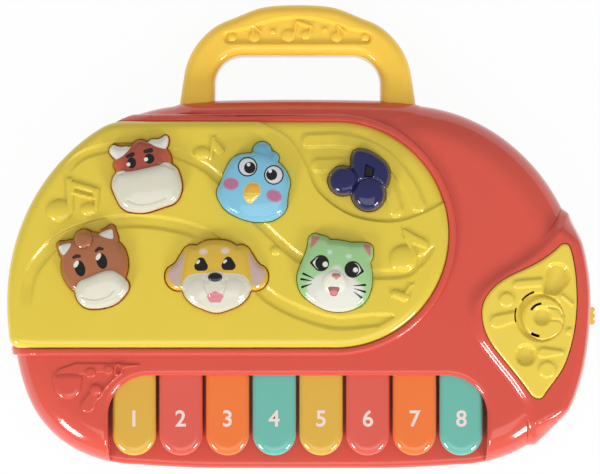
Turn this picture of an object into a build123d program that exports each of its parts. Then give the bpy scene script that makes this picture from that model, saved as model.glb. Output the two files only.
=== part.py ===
"""Toy electronic keyboard: a two-part casing with a button panel, six face buttons, eight piano keys,
a speaker pod, a carrying handle, a slide switch and a battery compartment.

The toy lies on its back: +Z is up out of the face, +X is to the right of a child facing the keys and +Y is
towards the handle. Everything is drawn about the casing's own centre line and moved at the end so that the
origin lies under the middle of the overall box. Lengths are in millimetres, headings in degrees from +X.
"""
from build123d import *
import math
import os

# ---------------------------------------------------------------- driving dimensions

# casing
foot_height = 1.2           # moulded feet below the casing
parting_z = 17.0            # the two casings meet here, which is also the middle of the handle
face_z = 36.0               # flat part of the top casing
wall = 2.2
top_round = 15.0            # large edge round of the top casing
bottom_round = 8.0
tongue_height = 1.6         # locating rib of the bottom casing inside the top one
tongue_width = 1.2
fit_gap = 0.15              # between parts of the casing that are assembled once
slip_gap = 0.3              # between parts that move
case_right = [(0, 57.0, 0), (90.5, 39.5, -39), (122.5, -31.0, -90), (103.5, -87.0, -142),
              (62.0, -98.2, -175), (0, -99.3, -180)]

# button panel
panel_grow = 2.3            # how far the panel's left wall stands outside the casing
panel_thickness = 2.5
panel_half_width = 46.9     # the right end is a half circle of this radius
panel_end_x = 15.9
panel_edge_round = 4.4
panel_corner_round = 5.0    # lower left corner seen from above
panel_shoulder_round = 20.0  # upper left corner seen from above
panel_skirt_z = 18.6
lip_width = 3.5             # red lip round the panel
lip_height = 1.8
relief_depth = 0.8          # sunk ribbons and field of the panel's face
field_line = [(-13.0, 47.0), (-3.6, 40.8), (3.0, 30.6), (9.0, 18.4), (22.0, 9.0), (38.0, 6.0), (50.0, 8.6),
              (61.6, 14.4)]
bar_width = 5.2             # two raised bars in the field
bar_lines = [[(4.6, 39.9), (20.0, 39.8), (35.0, 34.4), (45.4, 23.0), (50.6, 12.8)],
             [(8.4, 29.6), (22.0, 29.2), (36.2, 21.6), (41.2, 10.8)]]
high_ribbon, high_ribbon_width = [(-99.0, 25.4), (-88.0, 34.6), (-66.0, 37.0), (-39.0, 28.9), (-15.6, 5.0),
                                  (8.0, -13.0), (42.0, -15.9), (55.2, -6.6)], 3.4
low_ribbon, low_ribbon_width = [(-114.6, -31.0), (-110.4, -13.6), (-96.0, 0), (-70.0, 6.2), (-42.0, 1.6),
                                (-25.0, -11.0), (-10.5, -26.4), (13.0, -35.9), (37.0, -34.8)], 5.0

# speaker pod and grille
pod_grow = 1.5
pod_height = 2.2
pod_slope_width = 3.6
pod_edge_round = 5.0
pod_line = [(121, 26, -126), (98.3, -5.1, -143), (79.0, -18.2, -141), (71.6, -31.5, -90), (86.4, -59.0, -50),
            (96.8, -80.0, -87), (97.0, -108.0, -90)]
grille_line = [(111.9, -3.1, 0), (114.9, -7.2, -76), (117.0, -26.8, -90), (112.7, -51.9, -110),
               (104.7, -64.6, -128), (101.0, -68.2, -180), (95.4, -63.4, 126), (82.4, -46.9, 127),
               (77.2, -32.2, 90), (84.7, -19.3, 36), (99.3, -11.7, 27), (108.1, -5.7, 40), (111.9, -3.1, 0)]
grille_thickness = 3.0
grille_pocket = 2.2
spiral_x, spiral_y = 102.3, -33.5
# sound slots about the spiral's middle: radius, width, first heading and sweep
sound_slots = [(10.6, 0.9, 108, 34), (11.3, 0.8, 163, 30), (5.2, 1.0, 93, 58), (8.5, 1.2, 238, 25)]
curl_depth = 1.0
curl_outer = [9.9, 9.6, 10.0, 11.2, 11.6, 11.4, 11.2, 10.6]   # radius at every eighth of a turn
curl_inner = [8.6, 7.6, 7.3, 7.0, 7.0, 8.0, 9.4, 9.4]
curl_eye_radius = 4.1
drop_discs = [(108.6, -17.2, 4.9), (104.6, -22.4, 1.6)]
sunk_disc = (94.8, -50.0, 3.9)
raised_discs = [(87.5, -26.7, 3.2), (104.4, -56.0, 3.5)]
raised_disc_height = 0.8
raised_dome = 8.0
speaker_x, speaker_y = 99.5, -33.5
speaker_radius = 15.0
speaker_flange = 1.2
cone_depth = 5.0
basket_depth = 8.0
magnet_radius = 9.0
magnet_height = 5.0

# key bay and keys
key_count = 8
key_pitch = 19.7
key_width = 18.4
key_tip_y = -92.6
key_top_z = 33.5
key_depth = 7.2             # height of the key's side walls
key_skin = 1.8
key_edge_round = 2.2
key_travel_deg = 3.2
key_arm_width = 14.0
key_arm_depth = 6.6
bay_side_gap = 1.6
bay_back_y = -58.8
bay_corner_round = 17.0
bay_floor_z = 22.6
bay_wall = 2.0
bay_sill_y = -57.4
rod_radius = 1.5
rod_clearance = 0.06
rod_y = -42.0
rod_z = 29.8
plunger_y = -50.6
saddle_thickness = 2.0
saddle_depth = 8.0
key_board_z = 16.0
board_thickness = 1.6
key_board_depth = 13.5
dome_radius = 3.4
key_dome_height = 4.2

# buttons
button_fit = 0.25
button_flange = 1.3
flange_thickness = 1.5
button_rise = 5.2
button_travel = 2.0
muzzle_rise = 1.6
button_dome = 55.0          # radius of the ball that domes the face, and of the one that domes the muzzle
muzzle_dome = 15.0
muzzle_inset = 0.7
corner_fill = 1.0           # rounding of a button outline's inner corners
corner_soft = 1.3           # and of its outer ones
button_skin = 1.8           # wall of a button, which is hollow from below
stem_radius = 3.6
button_dome_height = 4.0
button_dome_radius = 5.2
main_board_z = 20.4
board_left, board_right, board_back, board_front = -100.0, 37.0, 42.0, -33.0
board_inset = 9.0
board_post_radius = 3.0
board_posts = [(-92.0, 2.0), (-48.0, 37.0), (20.0, 37.0), (34.0, -20.0)]

speaker_screw_circle = 18.2
speaker_boss_radius = 2.0

# battery compartment, for three AA cells side by side
cell_radius = 7.15
cell_length = 49.2
cell_nub_radius, cell_nub_length = 2.75, 1.0
cell_pitch = 14.9
cell_count = 3
battery_y = -4.0
contact_room = 3.2
contact_thickness = 0.4
door_thickness = 2.0
door_margin = 3.0
door_sink = 1.2             # how deep the door's screw heads are let in
door_ear_radius = 4.5
door_travel = 22.0

# handle
handle_top_y = 98.6
handle_right = [(0, handle_top_y, 0), (21.0, 95.6, -23), (30.0, 91.9, -20), (43.8, 80.6, -56), (50.2, 57.0, -82)]
handle_foot_x = 50.4
handle_grip_y = 76.9
handle_gap_half = 35.2
handle_gap_round = 12.0
handle_half_thickness = 9.0
handle_edge_round = 4.4
handle_skin = 2.4
handle_pocket = 1.4
tenon_y = 45.5
post_y = 50.6
post_radius = 2.9
collar_half = 52.2
collar_y = 58.3
collar_z = 28.6

# switch
switch_y = -34.0
switch_z = 21.8
nub_length, nub_height = 7.4, 4.2
nub_reach = 2.5
switch_travel = 3.0
plate_gap = 1.2             # the wall curves away from the plate that hides the switch's slot
plate_thickness = 1.4
plate_spare = 2.0           # how far that plate reaches past the slot
switch_body_x = 113.4
switch_body_depth = 5.0
switch_body_height = 5.2

# fasteners
screw_radius = 1.3
screw_head_radius = 2.7
screw_head_height = 1.8
boss_radius = 3.6
counterbore_depth = 7.0
housing_screw_places = [(109.5, -1.0), (-109.5, -1.0), (104.0, -72.0), (-104.0, -72.0), (70.0, 38.0), (-70.0, 38.0),
                        (40.0, -88.0), (-40.0, -88.0)]
foot_radius = 5.0
foot_places = [(76.0, 28.0), (-76.0, 28.0), (88.0, -66.0), (-88.0, -66.0)]

# ---------------------------------------------------------------- drawing helpers


def unit(heading):
    return Vector(math.cos(math.radians(heading)), math.sin(math.radians(heading)))


def tangent_arcs(stations):
    """Smooth chain of arcs through stations given as x, y and heading: two arcs from each to the next."""
    edges = []
    for (x1, y1, heading1), (x2, y2, heading2) in zip(stations, stations[1:]):
        start, end = Vector(x1, y1), Vector(x2, y2)
        t1, t2 = unit(heading1), unit(heading2)
        chord, along = end - start, t1 + t2
        spread = 2 * (1 - t1.dot(t2))
        if spread < 1e-9:
            edges.append(Line(start, end))
            continue
        reach = (math.sqrt(chord.dot(along) ** 2 + spread * chord.dot(chord)) - chord.dot(along)) / spread
        middle = (start + end + (t1 - t2) * reach) * 0.5
        edges.append(TangentArc(start, middle, tangent=t1))
        edges.append(TangentArc(end, middle, tangent=-t2))
    return edges


def stations_through(places, closed=False):
    """Adds a heading to each place: the way the circle through it and its neighbours runs there."""
    headings = []
    for (x0, y0), (x1, y1), (x2, y2) in zip(places[-1:] + places[:-1], places, places[1:] + places[:1]):
        before, after = Vector(x1 - x0, y1 - y0), Vector(x2 - x1, y2 - y1)
        run = before / before.length ** 2 + after / after.length ** 2
        headings.append(math.degrees(math.atan2(run.Y, run.X)))
    if not closed:
        first = math.degrees(math.atan2(places[1][1] - places[0][1], places[1][0] - places[0][0]))
        last = math.degrees(math.atan2(places[-1][1] - places[-2][1], places[-1][0] - places[-2][0]))
        headings[0], headings[-1] = 2 * first - headings[1], 2 * last - headings[-2]
    stations = [(x, y, heading) for (x, y), heading in zip(places, headings)]
    return stations + stations[:1] if closed else stations


def mirrored(stations):
    """The same chain carried on round the other side of the centre line, in the same sense."""
    return stations + [(-x, y, -heading) for x, y, heading in reversed(stations[:-1])]


def region(edges):
    return make_face(Wire(edges).edges())


def loop(*places):
    """Smooth closed outline through places."""
    return region(tangent_arcs(stations_through(places, closed=True)))


def band(places, width):
    """Band with round ends along a smooth line through places."""
    return make_face(offset(Wire(tangent_arcs(stations_through(places))), amount=width / 2, kind=Kind.ARC).edges())


def disc(x, y, radius):
    return Pos(x, y) * Circle(radius)


def blob(*discs):
    """Outline stretched round discs, each given as x, y and radius."""
    return make_hull((Sketch() + [disc(*place) for place in discs]).edges())


def grown(face, amount):
    return face if amount == 0 else offset(face, amount=amount, kind=Kind.ARC).face()


def prism(face, z0, z1):
    return extrude(Pos(0, 0, z0) * face, amount=z1 - z0, dir=(0, 0, 1))


def domed(face, low, top, radius):
    """Prism whose upper end is a shallow dome over the middle of its outline."""
    middle = face.center()
    return prism(face, low, top) & Pos(middle.X, middle.Y, top - radius) * Sphere(radius)


def box(x0, x1, y0, y1, z0, z1):
    size = (x1 - x0, y1 - y0, z1 - z0)
    return Pos((x0 + x1) / 2, (y0 + y1) / 2, (z0 + z1) / 2) * Box(*size)


def post(x, y, radius, z0, z1):
    return Pos(x, y, (z0 + z1) / 2) * Cylinder(radius, z1 - z0)


def edges_at(solid, z):
    return solid.edges().filter_by(lambda e: abs(e.bounding_box().min.Z - z) < 1e-3
                                   and abs(e.bounding_box().max.Z - z) < 1e-3)


def rounded_block(face, z0, z1, top=0, bottom=0):
    """Prism whose upper and lower edges are rounded."""
    block = prism(face, z0, z1)
    if top:
        block = fillet(edges_at(block, z1), top)
    if bottom:
        block = fillet(edges_at(block, z0), bottom)
    return block


# ---------------------------------------------------------------- plans seen from above

case_plan = region(tangent_arcs(mirrored(case_right)))
case_front_y = case_right[-1][1]
case_half = case_right[2][0]
skin_z = face_z - wall
pod_z = face_z + pod_height
panel_z = face_z + panel_thickness
far = 2 * case_half


def stadium(grow):
    """The panel's straight band with its round right end, made larger by grow."""
    half = panel_half_width + grow
    band = Pos(panel_end_x - far / 2, 0) * Rectangle(far, 2 * half)
    return (band + Pos(panel_end_x, 0) * Circle(half)).face()


def softened(face, radius):
    """Round every outward corner of a face that is sharper than radius."""
    return grown(grown(face, -radius), radius)


def panel_plan():
    plan = (grown(case_plan, panel_grow) & stadium(0)).face()
    front_half = Pos(0, -far / 2) * Rectangle(2 * far, far)
    back_half = Pos(0, far / 2) * Rectangle(2 * far, far)
    front = softened(plan, panel_corner_round) & front_half
    back = softened(plan, panel_shoulder_round) & back_half
    return (front + back).face()


def pod_plan(grow):
    """The speaker pod's side of its step line, moved outwards by grow, with no limit towards the outside."""
    top_x, bottom_x = pod_line[0][0], pod_line[-1][0]
    top_y, bottom_y = pod_line[0][1], pod_line[-1][1]
    outside = Polyline((bottom_x, bottom_y), (far, bottom_y), (far, top_y), (top_x, top_y))
    return grown(region(tangent_arcs(pod_line) + list(outside.edges())), grow)


grille_plan = region(tangent_arcs(grille_line))
bay_half = (key_count - 1) * key_pitch / 2 + key_width / 2 + bay_side_gap
bay_plan = Pos(0, bay_back_y - far / 2) * Rectangle(2 * bay_half, far)
bay_plan = fillet(bay_plan.vertices().group_by(Axis.Y)[-1], bay_corner_round)

# ---------------------------------------------------------------- button outlines, each about its own centre


def even(*places):
    """Smooth outline that is alike on both sides of its middle, from its lowest place to its highest."""
    return loop(*places, *[(-x, y) for x, y in reversed(places[1:-1])])


def moulded(*shapes):
    """Shapes joined into one outline whose inner and outer corners are all rounded."""
    joined = shapes[0]
    for shape in shapes[1:]:
        joined += shape
    filled = grown(joined.face(), corner_fill)
    return grown(grown(filled, -corner_fill - corner_soft), corner_soft)


def cow_face():
    muzzle = loop((8.0, 4.9), (4.0, 3.3), (-6.6, 1.0), (-9.8, 1.4), (-12.8, 0.5), (-14.9, -3.6), (-13.4, -9.6),
                  (-10.0, -14.8), (-3.4, -16.5), (6.0, -14.4), (12.9, -11.1), (14.8, -6.2), (14.3, -1.6), (12.0, 3.2))
    head = loop((-2.8, 14.4), (-7.4, 11.2), (-12.4, 6.4), (-13.9, 4.6), (-12.8, 1.0), (0, -4.0), (10.0, 3.0),
                (9.9, 8.0), (8.2, 10.6), (1.0, 13.2))
    left_horn = loop((-14.9, 12.0), (-16.0, 9.8), (-14.7, 7.3), (-12.4, 5.9), (-9.0, 7.5), (-7.3, 11.2), (-11.0, 11.6))
    right_horn = loop((8.3, 16.8), (6.0, 15.3), (0.7, 13.3), (4.0, 9.0), (8.1, 10.7), (9.2, 13.4), (9.0, 15.6))
    return moulded(head, left_horn, right_horn, muzzle), muzzle


def bird_face():
    body = loop((-2.2, 12.5), (-8.0, 10.9), (-11.6, 5.6), (-13.2, 1.4), (-15.2, -4.0), (-13.0, -9.6), (-5.5, -14.7),
                (2.6, -16.4), (9.8, -15.0), (13.5, -11.8), (14.7, -5.0), (15.5, 1.0), (12.6, 6.9), (6.4, 11.0))
    return moulded(body, disc(3.9, 13.4, 4.0), disc(8.4, 10.7, 2.5)), disc(-0.4, -4.2, 3.8)


def note_face():
    flag = loop((-5.6, 5.0), (-5.4, 9.8), (-3.9, 11.9), (-0.6, 12.1), (5.0, 9.6), (9.6, 5.5), (10.5, 2.4),
                (8.6, -4.2), (-3.0, -4.0))
    low_head, high_head = disc(1.6, -6.7, 7.2), disc(-9.2, -1.1, 6.2)
    return moulded(flag, low_head, high_head), low_head


def horse_face():
    muzzle = loop((-7.5, -11.0), (-5.6, -5.8), (-1.6, -3.8), (6.4, -0.9), (11.0, -2.4), (15.2, -7.4), (12.6, -12.6),
                  (2.6, -17.2), (-4.6, -16.0))
    head = loop((2.2, 14.9), (8.4, 12.6), (12.8, 8.8), (14.6, 3.4), (13.9, -3.0), (9.0, -9.0), (0, -11.0),
                (-7.6, -10.0), (-12.0, -5.0), (-13.4, 0.6), (-12.2, 6.6), (-8.0, 11.6), (-3.0, 14.4))
    left_ear = loop((-15.0, 10.8), (-12.0, 11.3), (-8.5, 11.6), (-9.0, 6.0), (-13.1, 4.4), (-14.6, 7.4))
    right_ear = loop((7.7, 18.2), (5.3, 16.9), (3.0, 15.4), (6.0, 10.0), (10.3, 11.2), (9.9, 15.0))
    return moulded(head, left_ear, right_ear, disc(-3.8, 12.1, 4.2), muzzle), muzzle


def dog_face():
    muzzle = even((0, -15.2), (5.8, -13.7), (10.6, -11.3), (13.9, -7.2), (14.2, -2.8), (11.6, 0.4), (8.2, 1.4),
                  (4.0, 1.6), (0, 2.7))
    head = even((0, -10.0), (9.0, -8.0), (12.0, 0), (11.4, 9.0), (6.6, 14.4), (0, 15.7))
    ears = [loop(*[(side * x, y) for x, y in ((8.8, 13.3), (12.6, 12.9), (15.0, 9.8), (17.4, 6.1), (20.9, 3.4),
                                               (21.9, 0), (19.6, -4.6), (15.2, -5.8), (11.0, -1.0), (9.0, 6.0))])
            for side in (-1, 1)]
    return moulded(head, *ears, muzzle), muzzle


def cat_face():
    head = loop((-1.3, 14.3), (-7.0, 13.6), (-11.2, 10.6), (-13.6, 5.8), (-15.9, -2.2), (-14.9, -6.9), (-8.7, -12.8),
                (-1.3, -15.8), (6.1, -15.4), (12.6, -11.9), (15.3, -5.8), (15.4, 1.6), (13.4, 8.4), (9.2, 12.2),
                (3.8, 13.8))
    left_ear = loop((-10.1, 16.3), (-11.5, 11.6), (-12.0, 8.6), (-6.0, 9.0), (-2.4, 14.6), (-6.0, 16.3), (-8.7, 17.0))
    right_ear = loop((15.4, 12.2), (12.6, 13.1), (9.6, 13.2), (6.8, 12.9), (8.0, 7.0), (15.1, 5.4), (16.1, 9.4))
    return moulded(head, left_ear, right_ear), disc(-0.4, -3.6, 4.6)


buttons = {
    "button_cow": (-63.0, 25.9, cow_face),
    "button_bird": (-18.7, 22.1, bird_face),
    "button_note": (28.1, 24.2, note_face),
    "button_horse": (-85.5, -13.4, horse_face),
    "button_dog": (-33.9, -17.1, dog_face),
    "button_cat": (15.6, -15.9, cat_face),
}

# ---------------------------------------------------------------- places shared by several parts

saddle_places = [k * 2 * key_pitch for k in (-2, -1, 0, 1, 2)]
saddle_split = 0.4          # the casings' ribs meet this far above the rod's axis
speaker_screw_places = [(speaker_x + speaker_screw_circle * unit(a).X, speaker_y + speaker_screw_circle * unit(a).Y)
                        for a in (90, 210, 330)]
well_half_x = (cell_length + cell_nub_length + contact_room) / 2
well_half_y = cell_count * cell_pitch / 2
door_top = foot_height + door_thickness
cell_z = door_top + slip_gap + cell_radius
well_top = cell_z + cell_radius + slip_gap
ear_x = well_half_x + door_margin + 1.5
key_board_back = rod_y - saddle_depth / 2 - slip_gap
key_board_top = key_board_z + board_thickness
main_board_top = main_board_z + board_thickness
key_places = [(i - (key_count - 1) / 2) * key_pitch for i in range(key_count)]
key_board_posts = [(x, key_board_back - key_board_depth + screw_head_radius) for x in (-59.1, -19.7, 19.7, 59.1)]
tenon_x = (handle_gap_half + handle_foot_x) / 2
button_room_z = face_z - 2 * slip_gap - flange_thickness - button_travel
plate_half = nub_length / 2 + switch_travel + plate_spare
plate_x = case_half + pod_grow - wall - plate_gap


def rod_shape(radius, length):
    return Pos(0, rod_y, rod_z) * Rot(0, 90, 0) * Cylinder(radius, length)


def door_plan(grow):
    plate = Pos(0, battery_y) * Rectangle(2 * (well_half_x + door_margin), 2 * (well_half_y + door_margin))
    ears = [Pos(side * ear_x, battery_y) * Circle(door_ear_radius) for side in (-1, 1)]
    plan = fillet((plate + ears).vertices().group_by(Axis.Y)[0] + (plate + ears).vertices().group_by(Axis.Y)[-1], 2.0)
    return grown(plan.face(), grow)


# ---------------------------------------------------------------- casing


def case_upper(grow, top, radius, floor=parting_z):
    """Upper half of the casing's outer form, moved outwards by grow and ending at top."""
    return rounded_block(grown(case_plan, grow), floor, top, top=radius)


def pod_block(grow, top, radius, line_grow):
    """The pod: flat to near the outline, with a slope down to the casing's face along its step line."""
    body = rounded_block(grown(case_plan, grow), parting_z, top, top=radius)
    foot, crest = pod_plan(line_grow), pod_plan(line_grow - pod_slope_width)
    slope_foot_z = top - pod_height
    slope = loft([Pos(0, 0, slope_foot_z) * foot, Pos(0, 0, top) * crest], ruled=True)
    return body & (prism(foot, parting_z, slope_foot_z) + slope)


def handle_plan():
    """One closed outline: outer arch, two feet that run into the casing and the finger gap between them."""
    outer = tangent_arcs(handle_right)
    right_x, right_y = handle_right[-1][0], handle_right[-1][1]
    gap, bend = handle_gap_half, handle_gap_round
    foot = Polyline((right_x, right_y), (handle_foot_x, right_y - 2), (handle_foot_x, tenon_y), (gap, tenon_y),
                    (gap, handle_grip_y - bend))
    bend_arc = TangentArc((gap, handle_grip_y - bend), (gap - bend, handle_grip_y), tangent=(0, 1))
    top = Line((gap - bend, handle_grip_y), (0, handle_grip_y))
    half = outer + list(foot.edges()) + [bend_arc, top, Line((0, handle_grip_y), (0, handle_top_y))]
    face = region(half)
    return (face + mirror(face, about=Plane.YZ)).face()


def foot_sockets(gap):
    half_room = handle_half_thickness + gap
    sockets = Part()
    for side in (-1, 1):
        inner, outer = side * (handle_gap_half - gap), side * (handle_foot_x + gap)
        sockets += box(min(inner, outer), max(inner, outer), tenon_y - gap, handle_top_y,
                       parting_z - half_room, parting_z + half_room)
    return sockets


def switch_slot(gap):
    room = nub_length / 2 + switch_travel + gap
    return box(case_half - 8, far, switch_y - room, switch_y + room,
               switch_z - nub_height / 2 - gap, switch_z + nub_height / 2 + gap)


def top_housing():
    lip_z = face_z + lip_height
    skin = case_upper(0, face_z, top_round)
    lip_band = prism(stadium(fit_gap + lip_width), parting_z, lip_z)
    skin += case_upper(lip_height, lip_z, top_round) & lip_band
    skin += pod_block(pod_grow, pod_z, pod_edge_round, 0)
    skin += box(-collar_half, collar_half, case_right[0][1] - 12, collar_y, parting_z, collar_z)
    # the panel sits down inside the lip
    panel_seat = grown(panel_plan(), fit_gap)
    skin -= prism(panel_seat, face_z, panel_z)
    skin -= prism(panel_seat, panel_skirt_z - fit_gap, panel_z) - prism(case_plan, 0, panel_z)
    hollow = case_upper(-wall, skin_z, top_round - wall, floor=parting_z - 1)
    hollow += pod_block(pod_grow - wall, skin_z, pod_edge_round - wall, -wall)
    hollow -= box(-bay_half - bay_wall, bay_half + bay_wall, case_front_y - 5, bay_sill_y + bay_wall,
                  bay_floor_z - wall, face_z)
    housing = skin - hollow
    # key bay: open to the front, its floor ends in a low sill under the keys
    housing -= prism(bay_plan, bay_floor_z, face_z + 5)
    housing -= box(-bay_half, bay_half, case_front_y - 5, bay_sill_y, bay_floor_z, skin_z)
    housing -= box(-bay_half, bay_half, bay_sill_y - 1, bay_sill_y + bay_wall + 1, bay_floor_z + bay_wall, skin_z)
    # screw bosses run up to the skin
    inside = case_upper(-wall / 2, skin_z + wall / 2, top_round - wall / 2)
    for x, y in housing_screw_places:
        top = bay_floor_z - wall / 2 if abs(x) < bay_half and y < bay_sill_y else face_z
        boss = post(x, y, boss_radius, parting_z, top) & inside
        housing += boss - post(x, y, screw_radius - 0.2, parting_z - 1, parting_z + 9)
    # grille pocket and sound opening
    pocket_floor = pod_z - grille_pocket
    housing -= prism(grown(grille_plan, fit_gap), pocket_floor, pod_z + 5)
    housing -= post(speaker_x, speaker_y, speaker_radius - 2.5, skin_z - 1, pocket_floor + 1)
    for x, y, face in buttons.values():
        room = grown(Pos(x, y) * (face()[0]).face(), button_flange + 2 * slip_gap)
        housing -= prism(room, button_room_z, face_z + 1)
    for x in saddle_places:
        housing += box(x - saddle_thickness / 2, x + saddle_thickness / 2, rod_y - saddle_depth / 2,
                       rod_y + saddle_depth / 2, rod_z + saddle_split, face_z - wall / 2)
    housing -= rod_shape(rod_radius + fit_gap, far)
    for x, y in speaker_screw_places:
        housing += post(x, y, speaker_boss_radius, skin_z - speaker_flange, skin_z + wall / 2)
        housing -= post(x, y, screw_radius - 0.2, skin_z - 2 * speaker_flange, skin_z + wall / 2)
    housing -= foot_sockets(fit_gap)
    housing -= switch_slot(slip_gap)
    return housing


def screw_post(x, y, form):
    """Post of the lower casing with a counterbored way for a screw from below."""
    outer = post(x, y, screw_head_radius + 2.0, foot_height, parting_z) & form
    bore = post(x, y, screw_radius + fit_gap, 0, parting_z + 1)
    return outer, bore + post(x, y, screw_head_radius + 2 * fit_gap, 0, foot_height + counterbore_depth)


def bottom_housing():
    form = rounded_block(case_plan, foot_height, parting_z, bottom=bottom_round)
    collar = box(-collar_half, collar_half, case_right[0][1] - 12, collar_y, 2 * parting_z - collar_z, parting_z)
    hollow = rounded_block(grown(case_plan, -wall), foot_height + wall, parting_z + 1, bottom=bottom_round - wall)
    housing = form + collar - hollow
    rib_out = wall + fit_gap
    rib_z = parting_z + tongue_height
    rib = prism(grown(case_plan, -rib_out), parting_z - 3, rib_z)
    rib -= prism(grown(case_plan, -rib_out - tongue_width), parting_z - 4, rib_z + 1)
    rib += prism(grown(case_plan, -wall + 0.4), parting_z - 3, parting_z) \
        - prism(grown(case_plan, -rib_out - tongue_width), parting_z - 4, parting_z)
    plate_room = plate_half + switch_travel + 2 * slip_gap
    rib -= box(case_half - 12, far, switch_y - plate_room, switch_y + plate_room, parting_z, rib_z + 1)
    housing += rib
    for x, y in foot_places:
        housing += rounded_block(Pos(x, y) * Circle(foot_radius), 0, foot_height + 0.5, bottom=0.6)
    # battery well: a box with a ledge for the door and a post for each door screw
    housing += box(-well_half_x - wall, well_half_x + wall, battery_y - well_half_y - wall,
                   battery_y + well_half_y + wall, foot_height, well_top + 1.4)
    housing += prism(door_plan(wall), foot_height, door_top + wall)
    for side in (-1, 1):
        housing += post(side * ear_x, battery_y, boss_radius, door_top, door_top + 9)
    housing -= prism(door_plan(slip_gap), 0, door_top)
    housing -= box(-well_half_x, well_half_x, battery_y - well_half_y, battery_y + well_half_y, 0, well_top)
    for side in (-1, 1):
        housing -= post(side * ear_x, battery_y, screw_radius - 0.2, 0, door_top + 8)
    bores = Part()
    for x, y in housing_screw_places:
        outer, bore = screw_post(x, y, form)
        housing += outer
        bores += bore
    housing -= bores
    floor_in = foot_height + wall / 2
    for x in saddle_places:
        housing += box(x - saddle_thickness / 2, x + saddle_thickness / 2, rod_y - saddle_depth / 2,
                       rod_y + saddle_depth / 2, floor_in, rod_z + saddle_split - fit_gap)
    housing -= rod_shape(rod_radius + fit_gap, far)
    for x, y in key_board_posts:
        housing += post(x, y, board_post_radius, floor_in, key_board_z)
        housing -= post(x, y, screw_radius - 0.2, key_board_z - 6, key_board_z + 1)
    for x, y in board_posts:
        housing += post(x, y, board_post_radius, floor_in, main_board_z)
        housing -= post(x, y, screw_radius - 0.2, main_board_z - 6, main_board_z + 1)
    housing += box(switch_body_x - switch_body_depth / 2, switch_body_x + switch_body_depth / 2, switch_y - 5,
                   switch_y + 5, floor_in, switch_z - switch_body_height / 2)
    housing -= foot_sockets(fit_gap)
    for side in (-1, 1):
        housing += post(side * tenon_x, post_y, post_radius, floor_in, parting_z + handle_half_thickness - 1)
    return housing


def field_plan():
    """Sunk field at the panel's upper right, between its curved line and the panel's rounded edge."""
    (first_x, _), (_, last_y) = field_line[0], field_line[-1]
    outside = Polyline(field_line[-1], (far, last_y), (far, far), (first_x, far), field_line[0])
    beyond = region(tangent_arcs(stations_through(field_line)) + list(outside.edges()))
    return (stadium(-panel_edge_round) & beyond).face()


def button_panel():
    plan = panel_plan()
    plate = rounded_block(plan, panel_skirt_z, panel_z, top=panel_edge_round)
    panel = plate & prism(plan, face_z, panel_z)
    # the skirt hangs outside the casing's own left wall
    skirt = plate - prism(grown(case_plan, fit_gap), 0, face_z)
    panel += skirt
    for places, width in ((high_ribbon, high_ribbon_width), (low_ribbon, low_ribbon_width)):
        panel -= prism(band(places, width), panel_z - relief_depth, panel_z + 1)
    panel -= prism(field_plan(), panel_z - relief_depth, panel_z + 1)
    for places in bar_lines:
        panel += prism(band(places, bar_width), panel_z - 2 * relief_depth, panel_z)
    for x, y, face in buttons.values():
        panel -= prism(grown(Pos(x, y) * (face()[0]).face(), button_fit), face_z - 1, panel_z + 1)
    return panel


def turned(radii):
    """Smooth outline about the middle of the grille's spiral, given by its radius in even steps of a turn."""
    step = 360 / len(radii)
    return loop(*[(spiral_x + radius * unit(i * step).X, spiral_y + radius * unit(i * step).Y)
                  for i, radius in enumerate(radii)])


def speaker_grille():
    top = pod_z - grille_pocket + grille_thickness
    plate = rounded_block(grille_plan, pod_z - grille_pocket, top, top=0.8)
    sunk = [turned(curl_outer) - turned(curl_inner), disc(spiral_x, spiral_y, curl_eye_radius), blob(*drop_discs),
            disc(*sunk_disc)]
    for shape in sunk:
        for face in shape.faces():
            plate -= prism(face, top - curl_depth, top + 1)
    for x, y, radius in raised_discs:
        plate += domed(disc(x, y, radius).face(), top - curl_depth, top + raised_disc_height, raised_dome)
    for radius, width, start, sweep in sound_slots:
        plate -= slot_prism(radius, width, start, sweep, pod_z - grille_pocket - 1, top + 1)
    return plate


def slot_prism(radius, width, start, sweep, z0, z1):
    """Curved slot about the middle of the grille's spiral."""
    middle = CenterArc((spiral_x, spiral_y), radius, start, sweep)
    return prism(trace(middle, width).face(), z0, z1)


# ---------------------------------------------------------------- handle


def handle_pocket_plan():
    right = [(0, 93.4, 0), (19.5, 89.7, -21), (28.8, 87.3, -10), (32.0, 84.3, -90), (29.0, 81.3, -180)]
    half = tangent_arcs(right)
    half += [Line((29.0, 81.3), (0, 81.3)), Line((0, 81.3), (0, 93.4))]
    face = region(half)
    return (face + mirror(face, about=Plane.YZ)).face()


def handle_half(front):
    plan = handle_plan()
    low, high = parting_z - handle_half_thickness, parting_z + handle_half_thickness
    inner = grown(plan, -handle_skin)
    if front:
        half = rounded_block(plan, parting_z, high, top=handle_edge_round)
        half -= prism(inner, parting_z - 1, high - 2 * handle_skin)
        half -= prism(handle_pocket_plan(), high - handle_pocket, high + 1)
    else:
        half = rounded_block(plan, low, parting_z, bottom=handle_edge_round)
        half -= prism(inner, low + 2 * handle_skin, parting_z + 1)
    for side in (-1, 1):
        half -= post(side * tenon_x, post_y, post_radius + fit_gap, low - 1, high + 1)
    return half


# ---------------------------------------------------------------- keys


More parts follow.
